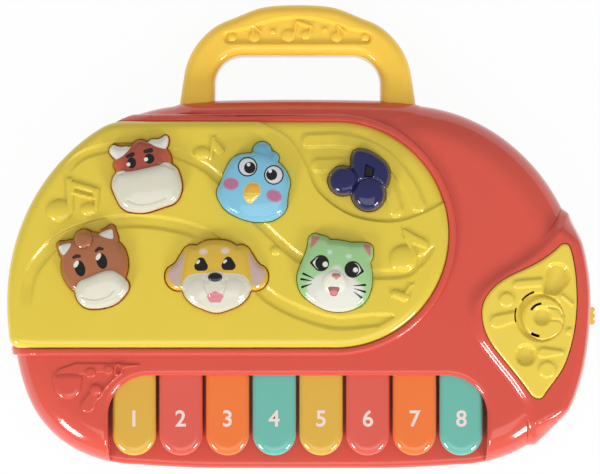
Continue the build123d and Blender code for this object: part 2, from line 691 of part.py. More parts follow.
def key(x):
    radius = key_width / 2
    low = key_top_z - key_depth
    body_back = bay_sill_y + bay_wall + 1
    body_plan = Pos(x, (key_tip_y + radius + body_back) / 2) * Rectangle(key_width, body_back - key_tip_y - radius)
    body_plan = (body_plan + Pos(x, key_tip_y + radius) * Circle(radius)).face()
    cap = rounded_block(body_plan, low, key_top_z, top=key_edge_round)
    cap -= prism(grown(body_plan, -key_skin), low - 1, key_top_z - key_skin)
    arm_back = rod_y + key_arm_depth / 2
    arm_top = key_top_z - slip_gap
    arm = box(x - key_arm_width / 2, x + key_arm_width / 2, body_back - key_skin, arm_back,
              rod_z - key_arm_depth / 2, arm_top)
    arm = fillet(arm.edges().filter_by(Axis.X).group_by(Axis.Y)[-1], key_arm_depth / 2 - 0.4)
    plunger = post(x, plunger_y, 2.0, key_board_top + key_dome_height + slip_gap, rod_z)
    return cap + arm + plunger - rod_shape(rod_radius + rod_clearance, 2 * far)


def key_pivot_rod():
    return rod_shape(rod_radius, 2 * (saddle_places[-1] + saddle_thickness))


def key_dome_strip():
    strip = box(key_places[0] - 5, key_places[-1] + 5, plunger_y - dome_radius, plunger_y + dome_radius,
                key_board_top, key_board_top + 0.8)
    for x in key_places:
        height = key_dome_height - 0.8
        strip += Pos(x, plunger_y, key_board_top + 0.8 + height / 2) * Cone(dome_radius - 0.2, dome_radius - 1.2, height)
    return strip


def key_board():
    board = box(-bay_half + 2, bay_half - 2, key_board_back - key_board_depth, key_board_back,
                key_board_z, key_board_top)
    for x, y in key_board_posts:
        board -= post(x, y, screw_radius + fit_gap, key_board_z - 1, key_board_top + 1)
    return board


# ---------------------------------------------------------------- buttons


def button(x, y, face):
    outline, raised = face()
    outline = outline.face()
    seat_z = face_z - slip_gap
    low = seat_z - flange_thickness
    top = panel_z + button_rise
    cap = prism(grown(outline, button_flange), low, seat_z)
    cap += domed(outline, seat_z, top, button_dome)
    cap += domed(grown(raised.face(), -muzzle_inset), panel_z, top + muzzle_rise, muzzle_dome)
    for room in offset(outline, amount=-button_skin, kind=Kind.ARC).faces():
        cap -= domed(room, low - 1, top - button_skin, button_dome - button_skin)
    cap += post(0, 0, stem_radius, main_board_top + button_dome_height + slip_gap, top - button_skin)
    return Pos(x, y) * cap


def button_domes():
    domes = []
    for x, y, _ in buttons.values():
        base = post(x, y, button_dome_radius, main_board_top, main_board_top + 0.8)
        height = button_dome_height - 0.8
        cone = Pos(x, y, main_board_top + 0.8 + height / 2) * Cone(button_dome_radius - 0.4, stem_radius - 0.4, height)
        domes.append(base + cone)
    return Compound(domes)


# ---------------------------------------------------------------- electronics


def main_board():
    plan = Pos((board_left + board_right) / 2, (board_front + board_back) / 2) \
        * Rectangle(board_right - board_left, board_back - board_front)
    board = prism((plan & grown(case_plan, -board_inset)).face(), main_board_z, main_board_top)
    for x, y in board_posts:
        board -= post(x, y, screw_radius + fit_gap, main_board_z - 1, main_board_top + 1)
    for x, y in housing_screw_places:
        board -= post(x, y, boss_radius + 3 * slip_gap, main_board_z - 1, main_board_top + 1)
    return board


def sound_chip():
    return rounded_block(Pos(-6.0, 32.0) * Circle(6.0), main_board_top, main_board_top + 1.6, top=1.2)


def board_capacitor():
    return rounded_block(Pos(6.0, 24.0) * Circle(3.2), main_board_top, main_board_top + 8, top=0.6)


def screw(x, y, seat_z, length, upward):
    """Pan-head screw seated at seat_z; upward means that its point is above its head."""
    way = 1 if upward else -1
    shank = post(x, y, screw_radius - 0.25, min(seat_z, seat_z + way * length), max(seat_z, seat_z + way * length))
    head_far = seat_z - way * screw_head_height
    head = post(x, y, screw_head_radius, min(seat_z, head_far), max(seat_z, head_far))
    head = fillet(edges_at(head, head_far), 0.7)
    return shank + head


def board_screws():
    places = [(x, y, key_board_top) for x, y in key_board_posts] + [(x, y, main_board_top) for x, y in board_posts]
    return Compound([screw(x, y, z, 6, upward=False) for x, y, z in places])


def housing_screws():
    return Compound([screw(x, y, foot_height + counterbore_depth, 16 - counterbore_depth + 2, upward=True)
                     for x, y in housing_screw_places])


def speaker_screws():
    return Compound([screw(x, y, skin_z - speaker_flange, 2.2, upward=True) for x, y in speaker_screw_places])


def door_screws():
    return Compound([screw(side * ear_x, battery_y, foot_height + door_sink, 7, upward=True) for side in (-1, 1)])


def spun(points):
    """Solid of revolution about the speaker's axis from a profile of radius and height."""
    profile = make_face(Polyline(*[(r, 0, z) for r, z in points], close=True).edges())
    return Pos(speaker_x, speaker_y) * revolve(profile, Axis.Z)


def speaker_frame():
    top = skin_z
    low = top - speaker_flange - basket_depth
    rim, throat = speaker_radius - 0.6, magnet_radius - 1.5
    return spun([(speaker_radius - 1.2, top), (speaker_radius + 1, top), (speaker_radius + 1, top - speaker_flange),
                 (rim, top - speaker_flange), (throat + 1, low), (2.5, low), (2.5, low + 0.9), (throat, low + 0.9),
                 (rim - 1.1, top - speaker_flange + 0.2)])


def speaker_cone():
    top = skin_z - 0.3
    low = top - cone_depth
    rim = speaker_radius - 2.0
    return spun([(0, low + 1.6), (3.0, low + 0.4), (rim - 2.0, top - 1.0), (rim, top), (rim, top - 0.6),
                 (rim - 2.0, top - 1.6), (3.0, low - 0.4), (0, low + 0.8)])


def speaker_magnet():
    top = skin_z - speaker_flange - basket_depth
    return rounded_block(Pos(speaker_x, speaker_y) * Circle(magnet_radius), top - magnet_height, top, bottom=0.6)


def slide_switch():
    half_x, half_z = switch_body_depth / 2, switch_body_height / 2
    body = box(switch_body_x - half_x, switch_body_x + half_x, switch_y - 6.5, switch_y + 6.5,
               switch_z - half_z, switch_z + half_z)
    reach = switch_travel + 1 + 2 * fit_gap
    return body - box(switch_body_x + half_x - 1.6, far, switch_y - reach, switch_y + reach,
                      switch_z - 1 - fit_gap, switch_z + 1 + fit_gap)


def switch_knob():
    """Outer nub with three grip ridges, the plate that hides the slot from inside and a fork for the lever."""
    outside = case_half + pod_grow
    tip = outside + nub_reach
    knob = box(plate_x - 0.2, tip - 0.7, switch_y - nub_length / 2, switch_y + nub_length / 2,
               switch_z - nub_height / 2, switch_z + nub_height / 2)
    for step in (-1, 0, 1):
        y = switch_y + step * (nub_length / 2 - 1.1)
        knob += Pos(tip - 1.1, y, switch_z) * Cylinder(1.1, nub_height)
    knob += box(plate_x - plate_thickness, plate_x, switch_y - plate_half, switch_y + plate_half,
                switch_z - nub_height / 2 - 1.6, switch_z + nub_height / 2 + 1.6)
    for side in (-1, 1):
        near, away = sorted((side * (1 + fit_gap), side * 2.4))
        knob += box(switch_body_x + switch_body_depth / 2 + 1, plate_x - 1, switch_y + near, switch_y + away,
                    switch_z - 1.5, switch_z + 1.5)
    return knob


def switch_lever():
    start = switch_body_x + switch_body_depth / 2 - 1.3
    end = plate_x - plate_thickness - slip_gap
    return box(start, end, switch_y - 1, switch_y + 1, switch_z - 1, switch_z + 1)


# ---------------------------------------------------------------- battery parts


def cell_rows():
    """Middle of each cell across the compartment, with the way its button end points."""
    for i in range(cell_count):
        yield battery_y + (i - (cell_count - 1) / 2) * cell_pitch, 1 if i % 2 == 0 else -1


def along_x(radius, x0, x1, y, z):
    return Pos((x0 + x1) / 2, y, z) * Rot(0, 90, 0) * Cylinder(radius, abs(x1 - x0))


def battery_cells():
    cells = []
    for y, way in cell_rows():
        tip = well_half_x - contact_thickness - 0.1
        shoulder = tip - cell_nub_length
        cell = along_x(cell_radius, shoulder - cell_length, shoulder, y, cell_z)
        cell = fillet(cell.edges().filter_by(GeomType.CIRCLE), 0.5)
        cell += along_x(cell_nub_radius, shoulder - 1, tip, y, cell_z)
        cells.append(cell if way > 0 else mirror(cell, about=Plane.YZ))
    return Compound(cells)


def battery_contacts():
    contacts = []
    t = contact_thickness
    for y, way in cell_rows():
        flat = box(well_half_x - t, well_half_x, y - 5, y + 5, cell_z - 5.5, cell_z + 5.5)
        wall_x = -well_half_x
        reach = contact_room - t - 0.2
        leaf = Polyline((wall_x, y, cell_z - 5.5), (wall_x + t, y, cell_z - 5.5), (wall_x + reach, y, cell_z),
                        (wall_x + t, y, cell_z + 5.5), (wall_x, y, cell_z + 5.5), (wall_x + reach - t, y, cell_z),
                        close=True)
        spring = extrude(make_face(leaf.edges()), amount=3, dir=(0, 1, 0), both=True)
        contacts += [flat, spring] if way > 0 else [mirror(flat, about=Plane.YZ), mirror(spring, about=Plane.YZ)]
    return Compound(contacts)


def battery_door():
    door = prism(door_plan(0), foot_height, door_top)
    for side in (-1, 1):
        door -= post(side * ear_x, battery_y, screw_radius + fit_gap, 0, door_top + 1)
        door -= post(side * ear_x, battery_y, screw_head_radius + fit_gap, 0, foot_height + door_sink)
    return door


# ---------------------------------------------------------------- assembly

parts = {
    "top_housing": top_housing(),
    "bottom_housing": bottom_housing(),
    "button_panel": button_panel(),
    "speaker_grille": speaker_grille(),
    "handle_front": handle_half(True),
    "handle_rear": handle_half(False),
    "key_pivot_rod": key_pivot_rod(),
    "key_dome_strip": key_dome_strip(),
    "key_board": key_board(),
    "button_domes": button_domes(),
    "main_board": main_board(),
    "sound_chip": sound_chip(),
    "board_capacitor": board_capacitor(),
    "speaker_frame": speaker_frame(),
    "speaker_cone": speaker_cone(),
    "speaker_magnet": speaker_magnet(),
    "slide_switch": slide_switch(),
    "switch_knob": switch_knob(),
    "switch_lever": switch_lever(),
    "battery_cells": battery_cells(),
    "battery_contacts": battery_contacts(),
    "battery_door": battery_door(),
    "door_screws": door_screws(),
    "board_screws": board_screws(),
    "speaker_screws": speaker_screws(),
    "housing_screws": housing_screws(),
}
for number, place in enumerate(key_places, start=1):
    parts[f"key_{number}"] = key(place)
for name, (x, y, face) in buttons.items():
    parts[name] = button(x, y, face)

# the origin goes under the middle of the box round the whole toy
left_x = -case_half - panel_grow
right_x = case_half + pod_grow + nub_reach
front_y = min(edge.bounding_box().min.Y for edge in case_plan.edges())
to_origin = Pos(-(left_x + right_x) / 2, -(front_y + handle_top_y) / 2)

os.makedirs("parts", exist_ok=True)
for name, shape in parts.items():
    export_step(to_origin * shape, f"parts/{name}.step")
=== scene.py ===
"""The toy keyboard dressed for its picture: smooth moulded shells, printed faces and studio light.

From the top housing on, lengths are in mm about the casing's own centre line, and MM and middle turn them
into the frame's metres. The frame's solids give the position and stay as they are.
"""

import math

import bmesh
import bpy
import numpy as np
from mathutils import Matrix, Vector, kdtree
from mathutils.geometry import convex_hull_2d, delaunay_2d_cdt


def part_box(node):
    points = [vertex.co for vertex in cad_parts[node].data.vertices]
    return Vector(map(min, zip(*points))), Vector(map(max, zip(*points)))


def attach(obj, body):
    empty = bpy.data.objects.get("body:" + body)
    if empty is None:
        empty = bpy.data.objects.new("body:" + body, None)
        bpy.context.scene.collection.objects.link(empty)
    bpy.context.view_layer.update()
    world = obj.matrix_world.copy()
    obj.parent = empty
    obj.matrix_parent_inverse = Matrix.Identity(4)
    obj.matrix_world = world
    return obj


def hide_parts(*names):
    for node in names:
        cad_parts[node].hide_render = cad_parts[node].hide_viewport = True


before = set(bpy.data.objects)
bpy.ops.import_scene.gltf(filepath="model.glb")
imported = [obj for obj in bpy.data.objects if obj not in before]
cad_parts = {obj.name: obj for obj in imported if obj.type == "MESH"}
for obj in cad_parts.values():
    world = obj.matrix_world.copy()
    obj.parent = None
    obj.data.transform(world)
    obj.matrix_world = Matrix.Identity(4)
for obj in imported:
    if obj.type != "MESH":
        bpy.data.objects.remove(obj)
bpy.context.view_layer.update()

# ---------------------------------------------------------------- camera
# A long lens straight above the toy, which lies on its back, so that hardly any of its sides shows.

camera = bpy.data.objects.new("camera", bpy.data.cameras.new("camera"))
bpy.context.scene.collection.objects.link(camera)
camera.location = (0.00014, 0, 0.9)
camera.data.lens = 123.5
camera.data.sensor_width = 36
bpy.context.scene.camera = camera
bpy.context.scene.view_settings.view_transform = "Standard"

# ---------------------------------------------------------------- studio
# A pale floor, an even white surround, a broad soft box overhead and two small ones low on the side of the
# keys, which give the plastic its paired highlights. Lengths are in metres.


def operator(operation, flipped=False):
    """Method that adds a Math node for a Python operator."""
    def apply(self, other):
        first, second = (other, self) if flipped else (self, other)
        return self.tree.node("ShaderNodeMath", {"operation": operation}, {0: first, 1: second})
    return apply


class Value:
    """A node's socket that takes part in Python sums: each operator adds its Math node."""

    def __init__(self, tree, socket):
        self.tree, self.socket = tree, socket

    __add__, __radd__ = operator("ADD"), operator("ADD", flipped=True)
    __sub__, __rsub__ = operator("SUBTRACT"), operator("SUBTRACT", flipped=True)
    __mul__, __rmul__ = operator("MULTIPLY"), operator("MULTIPLY", flipped=True)
    __truediv__ = operator("DIVIDE")


class Tree:
    """A node tree that starts empty."""

    def __init__(self, tree):
        self.tree = tree
        tree.nodes.clear()

    def node(self, kind, settings=None, sockets=None, out=0):
        """Adds a node: its settings, or a ramp's stops, then what its sockets hold or are linked to."""
        made = self.tree.nodes.new(kind)
        for key, value in (settings or {}).items():
            if key == "stops":
                for stop, (place, colour) in zip(made.color_ramp.elements, value):
                    stop.position, stop.color = place, colour
            else:
                setattr(made, key, value)
        for key, value in (sockets or {}).items():
            for source in value if isinstance(value, list) else [value]:
                if isinstance(source, Value):
                    self.tree.links.new(source.socket, made.inputs[key])
                else:
                    made.inputs[key].default_value = source
        return Value(self, made.outputs[out]) if made.outputs else None


class Shade(Tree):
    """A material and its nodes."""

    def __init__(self, name):
        self.material = bpy.data.materials.new(name)
        self.material.use_nodes = True
        super().__init__(self.material.node_tree)


def linear(colour):
    """Colour as it looks, 0 to 255, turned into the linear values that shaders take."""
    parts = [c / 255 for c in colour]
    return tuple(c / 12.92 if c < 0.04045 else ((c + 0.055) / 1.055) ** 2.4 for c in parts) + (1.0,)


def added(name, data):
    """New object in the scene."""
    thing = bpy.data.objects.new(name, data)
    bpy.context.scene.collection.objects.link(thing)
    return thing


def floor_finish():
    """Pale paper that takes a soft shadow and looks near white, also when mirrored or seen through."""
    shade = Shade("floor_paper")
    seen = shade.node("ShaderNodeLightPath", out="Is Camera Ray")
    mirrored_rays = shade.node("ShaderNodeLightPath", out="Is Glossy Ray")
    through = shade.node("ShaderNodeLightPath", out="Is Transmission Ray")
    paper = shade.node("ShaderNodeBsdfDiffuse", None, {"Color": (0.93, 0.93, 0.93, 1)})
    glow = shade.node("ShaderNodeEmission", None, {"Color": (1, 1, 1, 1), "Strength": 1.0})
    whitened = GLOW_SHARE * (seen + mirrored_rays + through)
    mixed = shade.node("ShaderNodeMixShader", None, {0: whitened, 1: paper, 2: glow})
    shade.node("ShaderNodeOutputMaterial", None, {"Surface": mixed})
    return shade.material


FLOOR_HALF, GLOW_SHARE = 3.0, 0.95
floor_mesh = bpy.data.meshes.new("floor")
corners = [(-FLOOR_HALF, -FLOOR_HALF, 0), (FLOOR_HALF, -FLOOR_HALF, 0), (FLOOR_HALF, FLOOR_HALF, 0),
           (-FLOOR_HALF, FLOOR_HALF, 0)]
floor_mesh.from_pydata(corners, [], [(0, 1, 2, 3)])
floor_mesh.materials.append(floor_finish())
added("floor", floor_mesh)

world = bpy.data.worlds.new("surround")
bpy.context.scene.world = world
world.use_nodes = True
SURROUND, MIRRORED = 0.6, 0.38
surround = Tree(world.node_tree)
mirror_ray = surround.node("ShaderNodeLightPath", out="Is Glossy Ray")
strength = SURROUND - (SURROUND - MIRRORED) * mirror_ray
light = surround.node("ShaderNodeBackground", None, {"Color": (1, 1, 1, 1), "Strength": strength})
surround.node("ShaderNodeOutputWorld", None, {"Surface": light})


def soft_box(name, place, width, height, watts):
    """Area light that looks at the toy."""
    light = bpy.data.lights.new(name, "AREA")
    light.shape = "RECTANGLE"
    light.size, light.size_y, light.energy = width, height, watts
    box = added(name, light)
    box.location = place
    box.rotation_euler = (-Vector(place)).to_track_quat("-Z", "Y").to_euler()


soft_box("left_box", (-0.95, -1.15, 0.62), 0.36, 0.36, 11)
soft_box("right_box", (0.95, -1.15, 0.62), 0.36, 0.36, 11)
soft_box("overhead_box", (0.1, -0.9, 1.5), 1.2, 0.8, 4)

# ---------------------------------------------------------------- top housing
# The red upper shell, moulded in glossy ABS: a broad rounded edge, a lip round the button panel, a raised pod
# for the speaker, an open bay for the keys with a rolled edge, and a collar that takes the handle's feet.

MM = 0.001
rod_low, rod_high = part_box("key_pivot_rod")
base_low, base_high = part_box("bottom_housing")
ROD_TO_MIDDLE = 42.0
ARC_STEP, CURVE_STEP = 0.6, 0.5
middle = Vector(((base_low.x + base_high.x) / 2, (rod_low.y + rod_high.y) / 2 + ROD_TO_MIDDLE * MM, 0))


def heading(degrees):
    """Step of length 1 in a direction."""
    return np.array([math.cos(math.radians(degrees)), math.sin(math.radians(degrees))])


def arc(start, tangent, end):
    """Points of the arc that leaves start along tangent and meets end."""
    chord = end - start
    left = np.array([-tangent[1], tangent[0]])
    sweep = 2 * math.atan2(chord @ left, chord @ tangent)
    length = np.linalg.norm(chord)
    count = max(2, math.ceil(length / ARC_STEP))
    if abs(sweep) < 1e-6:
        return start + np.linspace(0, 1, count + 1)[:, None] * chord
    centre = start + left * length / (2 * math.sin(sweep / 2))
    turn = np.linspace(0, sweep, count + 1)
    x, y = start - centre
    return centre + np.stack([np.cos(turn) * x - np.sin(turn) * y, np.sin(turn) * x + np.cos(turn) * y], 1)


def arc_chain(stations):
    """Points along a smooth chain of arcs through stations given as x, y and heading: two arcs a step."""
    pieces = []
    for (x1, y1, heading1), (x2, y2, heading2) in zip(stations, stations[1:]):
        start, end = np.array([x1, y1], float), np.array([x2, y2], float)
        t1, t2 = heading(heading1), heading(heading2)
        chord, along = end - start, t1 + t2
        spread = 2 * (1 - t1 @ t2)
        reach = (math.sqrt((chord @ along) ** 2 + spread * (chord @ chord)) - chord @ along) / spread
        joint = (start + end + (t1 - t2) * reach) / 2
        pieces += [arc(start, t1, joint)[:-1], arc(end, -t2, joint)[::-1][:-1]]
    return np.concatenate(pieces + [[end]])


def mirrored(stations):
    """Stations of the right half, followed by those of the left."""
    return stations + [(-x, y, -turn) for x, y, turn in reversed(stations[:-1])]


def curve_through(points, closed=False):
    """Smooth curve through a few points."""
    p = np.array(points, float)
    before, after = (p[-1:], p[:2]) if closed else ([2 * p[0] - p[1]], [2 * p[-1] - p[-2]])
    p = np.concatenate([before, p, after])
    pieces = []
    for a, b, c, d in zip(p, p[1:], p[2:], p[3:]):
        t = np.linspace(0, 1, max(2, math.ceil(np.linalg.norm(c - b) / CURVE_STEP)) + 1)[:-1, None]
        pieces.append(0.5 * (2 * b + (c - a) * t + (2 * a - 5 * b + 4 * c - d) * t ** 2
                             + (3 * b - a - 3 * c + d) * t ** 3))
    return np.concatenate(pieces if closed else pieces + [[p[-2]]])


def hull(*discs):
    """Outline stretched round discs, each given as x, y and radius."""
    turn = np.linspace(0, 2 * math.pi, 49)[:-1]
    points = np.concatenate([np.stack([x + r * np.cos(turn), y + r * np.sin(turn)], 1) for x, y, r in discs])
    return points[convex_hull_2d([Vector(p) for p in points])]


def oval(x, y, half_long, half_wide, turn=0.0):
    """Outline of an ellipse, turned by so many degrees."""
    t = np.linspace(0, 2 * math.pi, 61)[:-1]
    c, s = math.cos(math.radians(turn)), math.sin(math.radians(turn))
    u, v = half_long * np.cos(t), half_wide * np.sin(t)
    return np.stack([x + c * u - s * v, y + s * u + c * v], 1)


def disc(x, y, radius):
    return oval(x, y, radius, radius)


class Line:
    """A line seen from above. A closed one runs anticlockwise, and its left is its inside."""

    REACH = 4.0

    def __init__(self, points, closed=True, step=0.5):
        p = np.asarray(points, float)
        x, y = p[:, 0], p[:, 1]
        if closed and (x * np.roll(y, -1) - np.roll(x, -1) * y).sum() < 0:
            p = p[::-1]
        ends = np.roll(p, -1, 0) if closed else p[1:]
        counts = [max(1, math.ceil(np.linalg.norm(b - a) / step)) for a, b in zip(p, ends)]
        runs = [a + np.linspace(0, 1, n + 1)[:-1, None] * (b - a) for n, a, b in zip(counts, p, ends)]
        self.points = np.concatenate(runs if closed else runs + [p[-1:]])
        self.closed = closed
        self.tree = kdtree.KDTree(len(self.points))
        for i, (x, y) in enumerate(self.points):
            self.tree.insert((x, y, 0), i)
        self.tree.balance()

    def inside(self, xy):
        """How far each point lies from the line, positive on its left."""
        count = len(self.points)
        nearest = np.fromiter((self.tree.find((x, y, 0))[1] for x, y in xy), int, len(xy))
        best, side, lead = np.full(len(xy), np.inf), np.ones(len(xy)), np.zeros(len(xy))
        for first in (nearest - 1, nearest):
            usable = np.ones(len(xy), bool) if self.closed else (first >= 0) & (first + 1 < count)
            a, b = self.points[first % count], self.points[(first + 1) % count]
            run = b - a
            length = np.maximum(np.hypot(*run.T), 1e-9)
            share = np.clip(((xy - a) * run).sum(1) / length ** 2, 0, 1)
            away = np.hypot(*(xy - a - run * share[:, None]).T)
            off = (run[:, 0] * (xy - a)[:, 1] - run[:, 1] * (xy - a)[:, 0]) / length
            # at a shared corner the run that faces the point more squarely says which side it is on
            nearer = usable & ((away < best - 1e-6) | ((away < best + 1e-6) & (np.abs(off) > lead)))
            best, lead = np.where(nearer, away, best), np.where(nearer, np.abs(off), lead)
            side = np.where(nearer, np.sign(off), side)
        return best * np.where(side == 0, 1, side)

    def near(self, xy):
        """The same for a small shape on a large piece: far points count as lying REACH outside."""
        low, high = self.points.min(0) - self.REACH, self.points.max(0) + self.REACH
        here = np.all((xy > low) & (xy < high), axis=1)
        away = np.full(len(xy), -self.REACH)
        if here.any():
            away[here] = self.inside(xy[here])
        return away

    def moved(self, amount):
        """The line moved to its left, and which of its points don't fold over."""
        p = self.points
        along = np.roll(p, -1, 0) - np.roll(p, 1, 0) if self.closed else np.gradient(p, axis=0)
        along /= np.linalg.norm(along, axis=1)[:, None]
        q = p + amount * np.stack([-along[:, 1], along[:, 0]], 1)
        return q, np.abs(np.abs(self.inside(q)) - abs(amount)) < 0.01 + 0.01 * abs(amount)


class Form:
    """A shape of the relief: a closed outline, or the strip of a half width along an open line."""

    def __init__(self, points, half=0.0, high=0.0, soft=1.0):
        self.line = Line(points, closed=not half)
        self.half, self.high, self.soft = half, high, soft

    def inside(self, xy):
        away = self.line.near(xy)
        return self.half - np.abs(away) if self.half else away

    def swell(self, xy):
        """Rise from the outline in a round as wide as soft."""
        t = np.clip(self.inside(xy) / self.soft, 0, 1)
        return self.high * np.sqrt(1 - (1 - t) ** 2)

    def rings(self, plan, *insets):
        """Lines so far inside the shape's outline, added to a plan."""
        for inset in insets:
            plan.rings(self.line, *((self.half - inset, inset - self.half) if self.half else (inset,)))


def ball(x, y, radius, high, half_high=None):
    """Round or oval button that swells up to its middle."""
    return Form(oval(x, y, radius, half_high or radius), high=high, soft=radius)


ROW_RATIO = 0.866           # between the rows and the steps of staggered points


class Plan:
    """The lines and filling points of a sheet seen from above."""

    def __init__(self):
        self.points, self.edges, self.fills = [np.zeros((0, 2))], [], []
        self.count = 0

    def add(self, points, closed=True, sound=None):
        """A line whose edges the triangles keep, where both ends of an edge are sound."""
        n = len(points)
        sound = np.ones(n, bool) if sound is None else sound
        for i in range(n if closed else n - 1):
            if sound[i] and sound[(i + 1) % n]:
                self.edges.append((self.count + i, self.count + (i + 1) % n))
        self.points.append(points)
        self.count += n

    def rings(self, line, *amounts):
        """Copies of a line, each moved to its left by an amount."""
        for amount in amounts:
            points, sound = line.moved(amount) if amount else (line.points, None)
            self.add(points, line.closed, sound)

    def fill(self, low, high, step, leave=None):
        """Staggered points between two corners, except in a box given as its two corners."""
        rows = [(np.arange(low[0] + step / 2 * (i % 2), high[0], step), y)
                for i, y in enumerate(np.arange(low[1], high[1], step * ROW_RATIO))]
        xy = np.concatenate([np.stack([x, np.full(len(x), y)], 1) for x, y in rows])
        if leave:
            (x0, y0), (x1, y1) = leave
            xy = xy[(xy[:, 0] < x0) | (xy[:, 0] > x1) | (xy[:, 1] < y0) | (xy[:, 1] > y1)]
        self.fills.append((xy, step))

    def cut(self, keep):
        """Triangles that meet every line, with only those kept whose middles pass keep."""
        lines = np.concatenate(self.points)
        tree = kdtree.KDTree(len(lines))
        for i, (x, y) in enumerate(lines):
            tree.insert((x, y, 0), i)
        tree.balance()
        # filling points closer to a line than this share of their step are left out
        free = [xy[np.fromiter((tree.find((x, y, 0))[2] for x, y in xy), float, len(xy)) > 0.45 * step]
                for xy, step in self.fills]
        every = np.concatenate([lines] + free)
        xy, _, faces, *_ = delaunay_2d_cdt([Vector(p) for p in every], self.edges, [], 0, 1e-5, False)
        xy, faces = np.array(xy), np.array(faces)
        faces = faces[keep(xy[faces].mean(1))]
        used, faces = np.unique(faces, return_inverse=True)
        return xy[used], faces.reshape(-1, 3)


def round_over(inset, radius):
    """How far a rounded edge falls below the flat, for points that lie inset from its outline."""
    t = np.clip(inset, 0, radius)
    return np.sqrt(np.maximum(radius ** 2 - (radius - t) ** 2, 0)) - radius


def round_steps(radius, degrees=15):
    """Insets of the rings that shape a rounded edge, one for each so many degrees of its round."""
    return [radius * (1 - math.cos(math.radians(a))) for a in range(degrees, 91, degrees)]


def ramp(distance, width):
    """Smooth rise from 0 to 1 over a width, half way where the distance is 0."""
    f = np.clip(distance / width + 0.5, 0, 1)
    return f * f * (3 - 2 * f)


def free_edges(faces):
    """Edges with a face on one side only, with that face on their left."""
    pairs = np.concatenate([faces[:, [0, 1]], faces[:, [1, 2]], faces[:, [2, 0]]])
    _, first, count = np.unique(np.sort(pairs, 1), axis=0, return_index=True, return_counts=True)
    return pairs[first[count == 1]]


SHARP_ANGLE = 38            # between faces that meet in a sharp edge


def mesh_of(name, xyz, faces):
    """Smooth-shaded mesh of points in mm about the casing's middle."""
    mesh = bpy.data.meshes.new(name)
    mesh.from_pydata([(middle.x + x * MM, middle.y + y * MM, z * MM) for x, y, z in xyz.tolist()], [], faces)
    mesh.validate()
    mesh.shade_smooth()
    mesh.set_sharp_from_angle(angle=math.radians(SHARP_ANGLE))
    return mesh


def sheet_mesh(name, xy, faces, z, low, drops):
    """Open sheet; those of its free edges that pass drops go straight down to low."""
    edges = free_edges(faces)
    edges = edges[drops(xy[edges].mean(1))]
    rim = np.unique(edges)
    below = np.full(len(xy), -1)
    below[rim] = len(xy) + np.arange(len(rim))
    bottom = np.column_stack([xy[rim], np.full(len(rim), low)])
    walls = [(a, below[a], below[b], b) for a, b in edges]
    return mesh_of(name, np.concatenate([np.column_stack([xy, z]), bottom]), faces.tolist() + walls)


def block_mesh(name, xy, faces, z, low, keep):
    """Closed block: the sheet, its walls and a plain underside at low."""
    edges = free_edges(faces)
    rim = np.unique(edges)
    below = np.full(len(xy), -1)
    below[rim] = np.arange(len(rim))
    rim_points, rim_edges = [Vector(p) for p in xy[rim]], below[edges].tolist()
    _, _, base, from_rim, *_ = delaunay_2d_cdt(rim_points, rim_edges, [], 0, 1e-7, True)
    base = np.array([[from_rim[i][0] for i in face] for face in base])
    base = base[keep(xy[rim][base].mean(1))][:, ::-1]
    bottom = np.column_stack([xy[rim], np.broadcast_to(low, len(xy))[rim]])
    walls = [(a, len(xy) + below[a], len(xy) + below[b], b) for a, b in edges]
    mesh = mesh_of(name, np.concatenate([np.column_stack([xy, z]), bottom]),
                   faces.tolist() + walls + (base + len(xy)).tolist())
    # slivers of the underside don't tell its edges' angle, so they are marked by hand
    for edge in mesh.edges:
        edge.use_edge_sharp |= min(edge.vertices) >= len(xy)
    return mesh


def plastic(name, colour=None, roughness=0.1, mottle=0.03, grain=0.012, coat=0.4):
    """Moulded plastic: a faint cloudiness in its colour and a skin that isn't perfectly flat.

    Without a colour it takes the one painted on each corner of the mesh.
    """
    shade = Shade(name)
    place = shade.node("ShaderNodeTexCoord", out="Object")
    cloud = shade.node("ShaderNodeTexNoise", None, {"Vector": place, "Scale": 38.0, "Detail": 3.0})
    fine = shade.node("ShaderNodeTexNoise", None, {"Vector": place, "Scale": 1400.0, "Detail": 2.0})
    wave = shade.node("ShaderNodeTexNoise", None, {"Vector": place, "Scale": 130.0, "Detail": 1.0})
    tone = shade.node("ShaderNodeMix", {"data_type": "RGBA"},
                      {0: cloud, 6: (1 - mottle,) * 3 + (1,), 7: (1 + mottle,) * 3 + (1,)}, out=2)
    base = linear(colour) if colour else shade.node("ShaderNodeAttribute", {"attribute_name": "paint"})
    tinted = shade.node("ShaderNodeMix", {"data_type": "RGBA", "blend_type": "MULTIPLY"},
                        {0: 1.0, 6: base, 7: tone}, out=2)
    bump = shade.node("ShaderNodeBump", None,
                      {"Height": fine * 0.4 + wave, "Strength": grain, "Distance": 0.001})
    body = shade.node("ShaderNodeBsdfPrincipled", None,
                      {"Base Color": tinted, "Roughness": roughness + 0.05 * fine, "Normal": bump,
                       "Coat Weight": coat, "Coat Roughness": 0.04, "IOR": 1.5})
    shade.node("ShaderNodeOutputMaterial", None, {"Surface": body})
    return shade.material


def piece(name, mesh, material, body, slot=None, replaces=()):
    """Object that rides on a body and takes the place of the nodes it dresses."""
    mesh.materials.clear()
    mesh.materials.append(material)
    thing = added(name, mesh)
    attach(thing, body)
    for node in replaces:
        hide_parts(node)
    return thing


def block(name, plan, area, height, low, *dress):
    """Closed block cut from a plan, with its top and its underside given as functions of the place."""
    xy, faces = plan.cut(area)
    return piece(name, block_mesh(name, xy, faces, height(xy), low(xy), area), *dress)


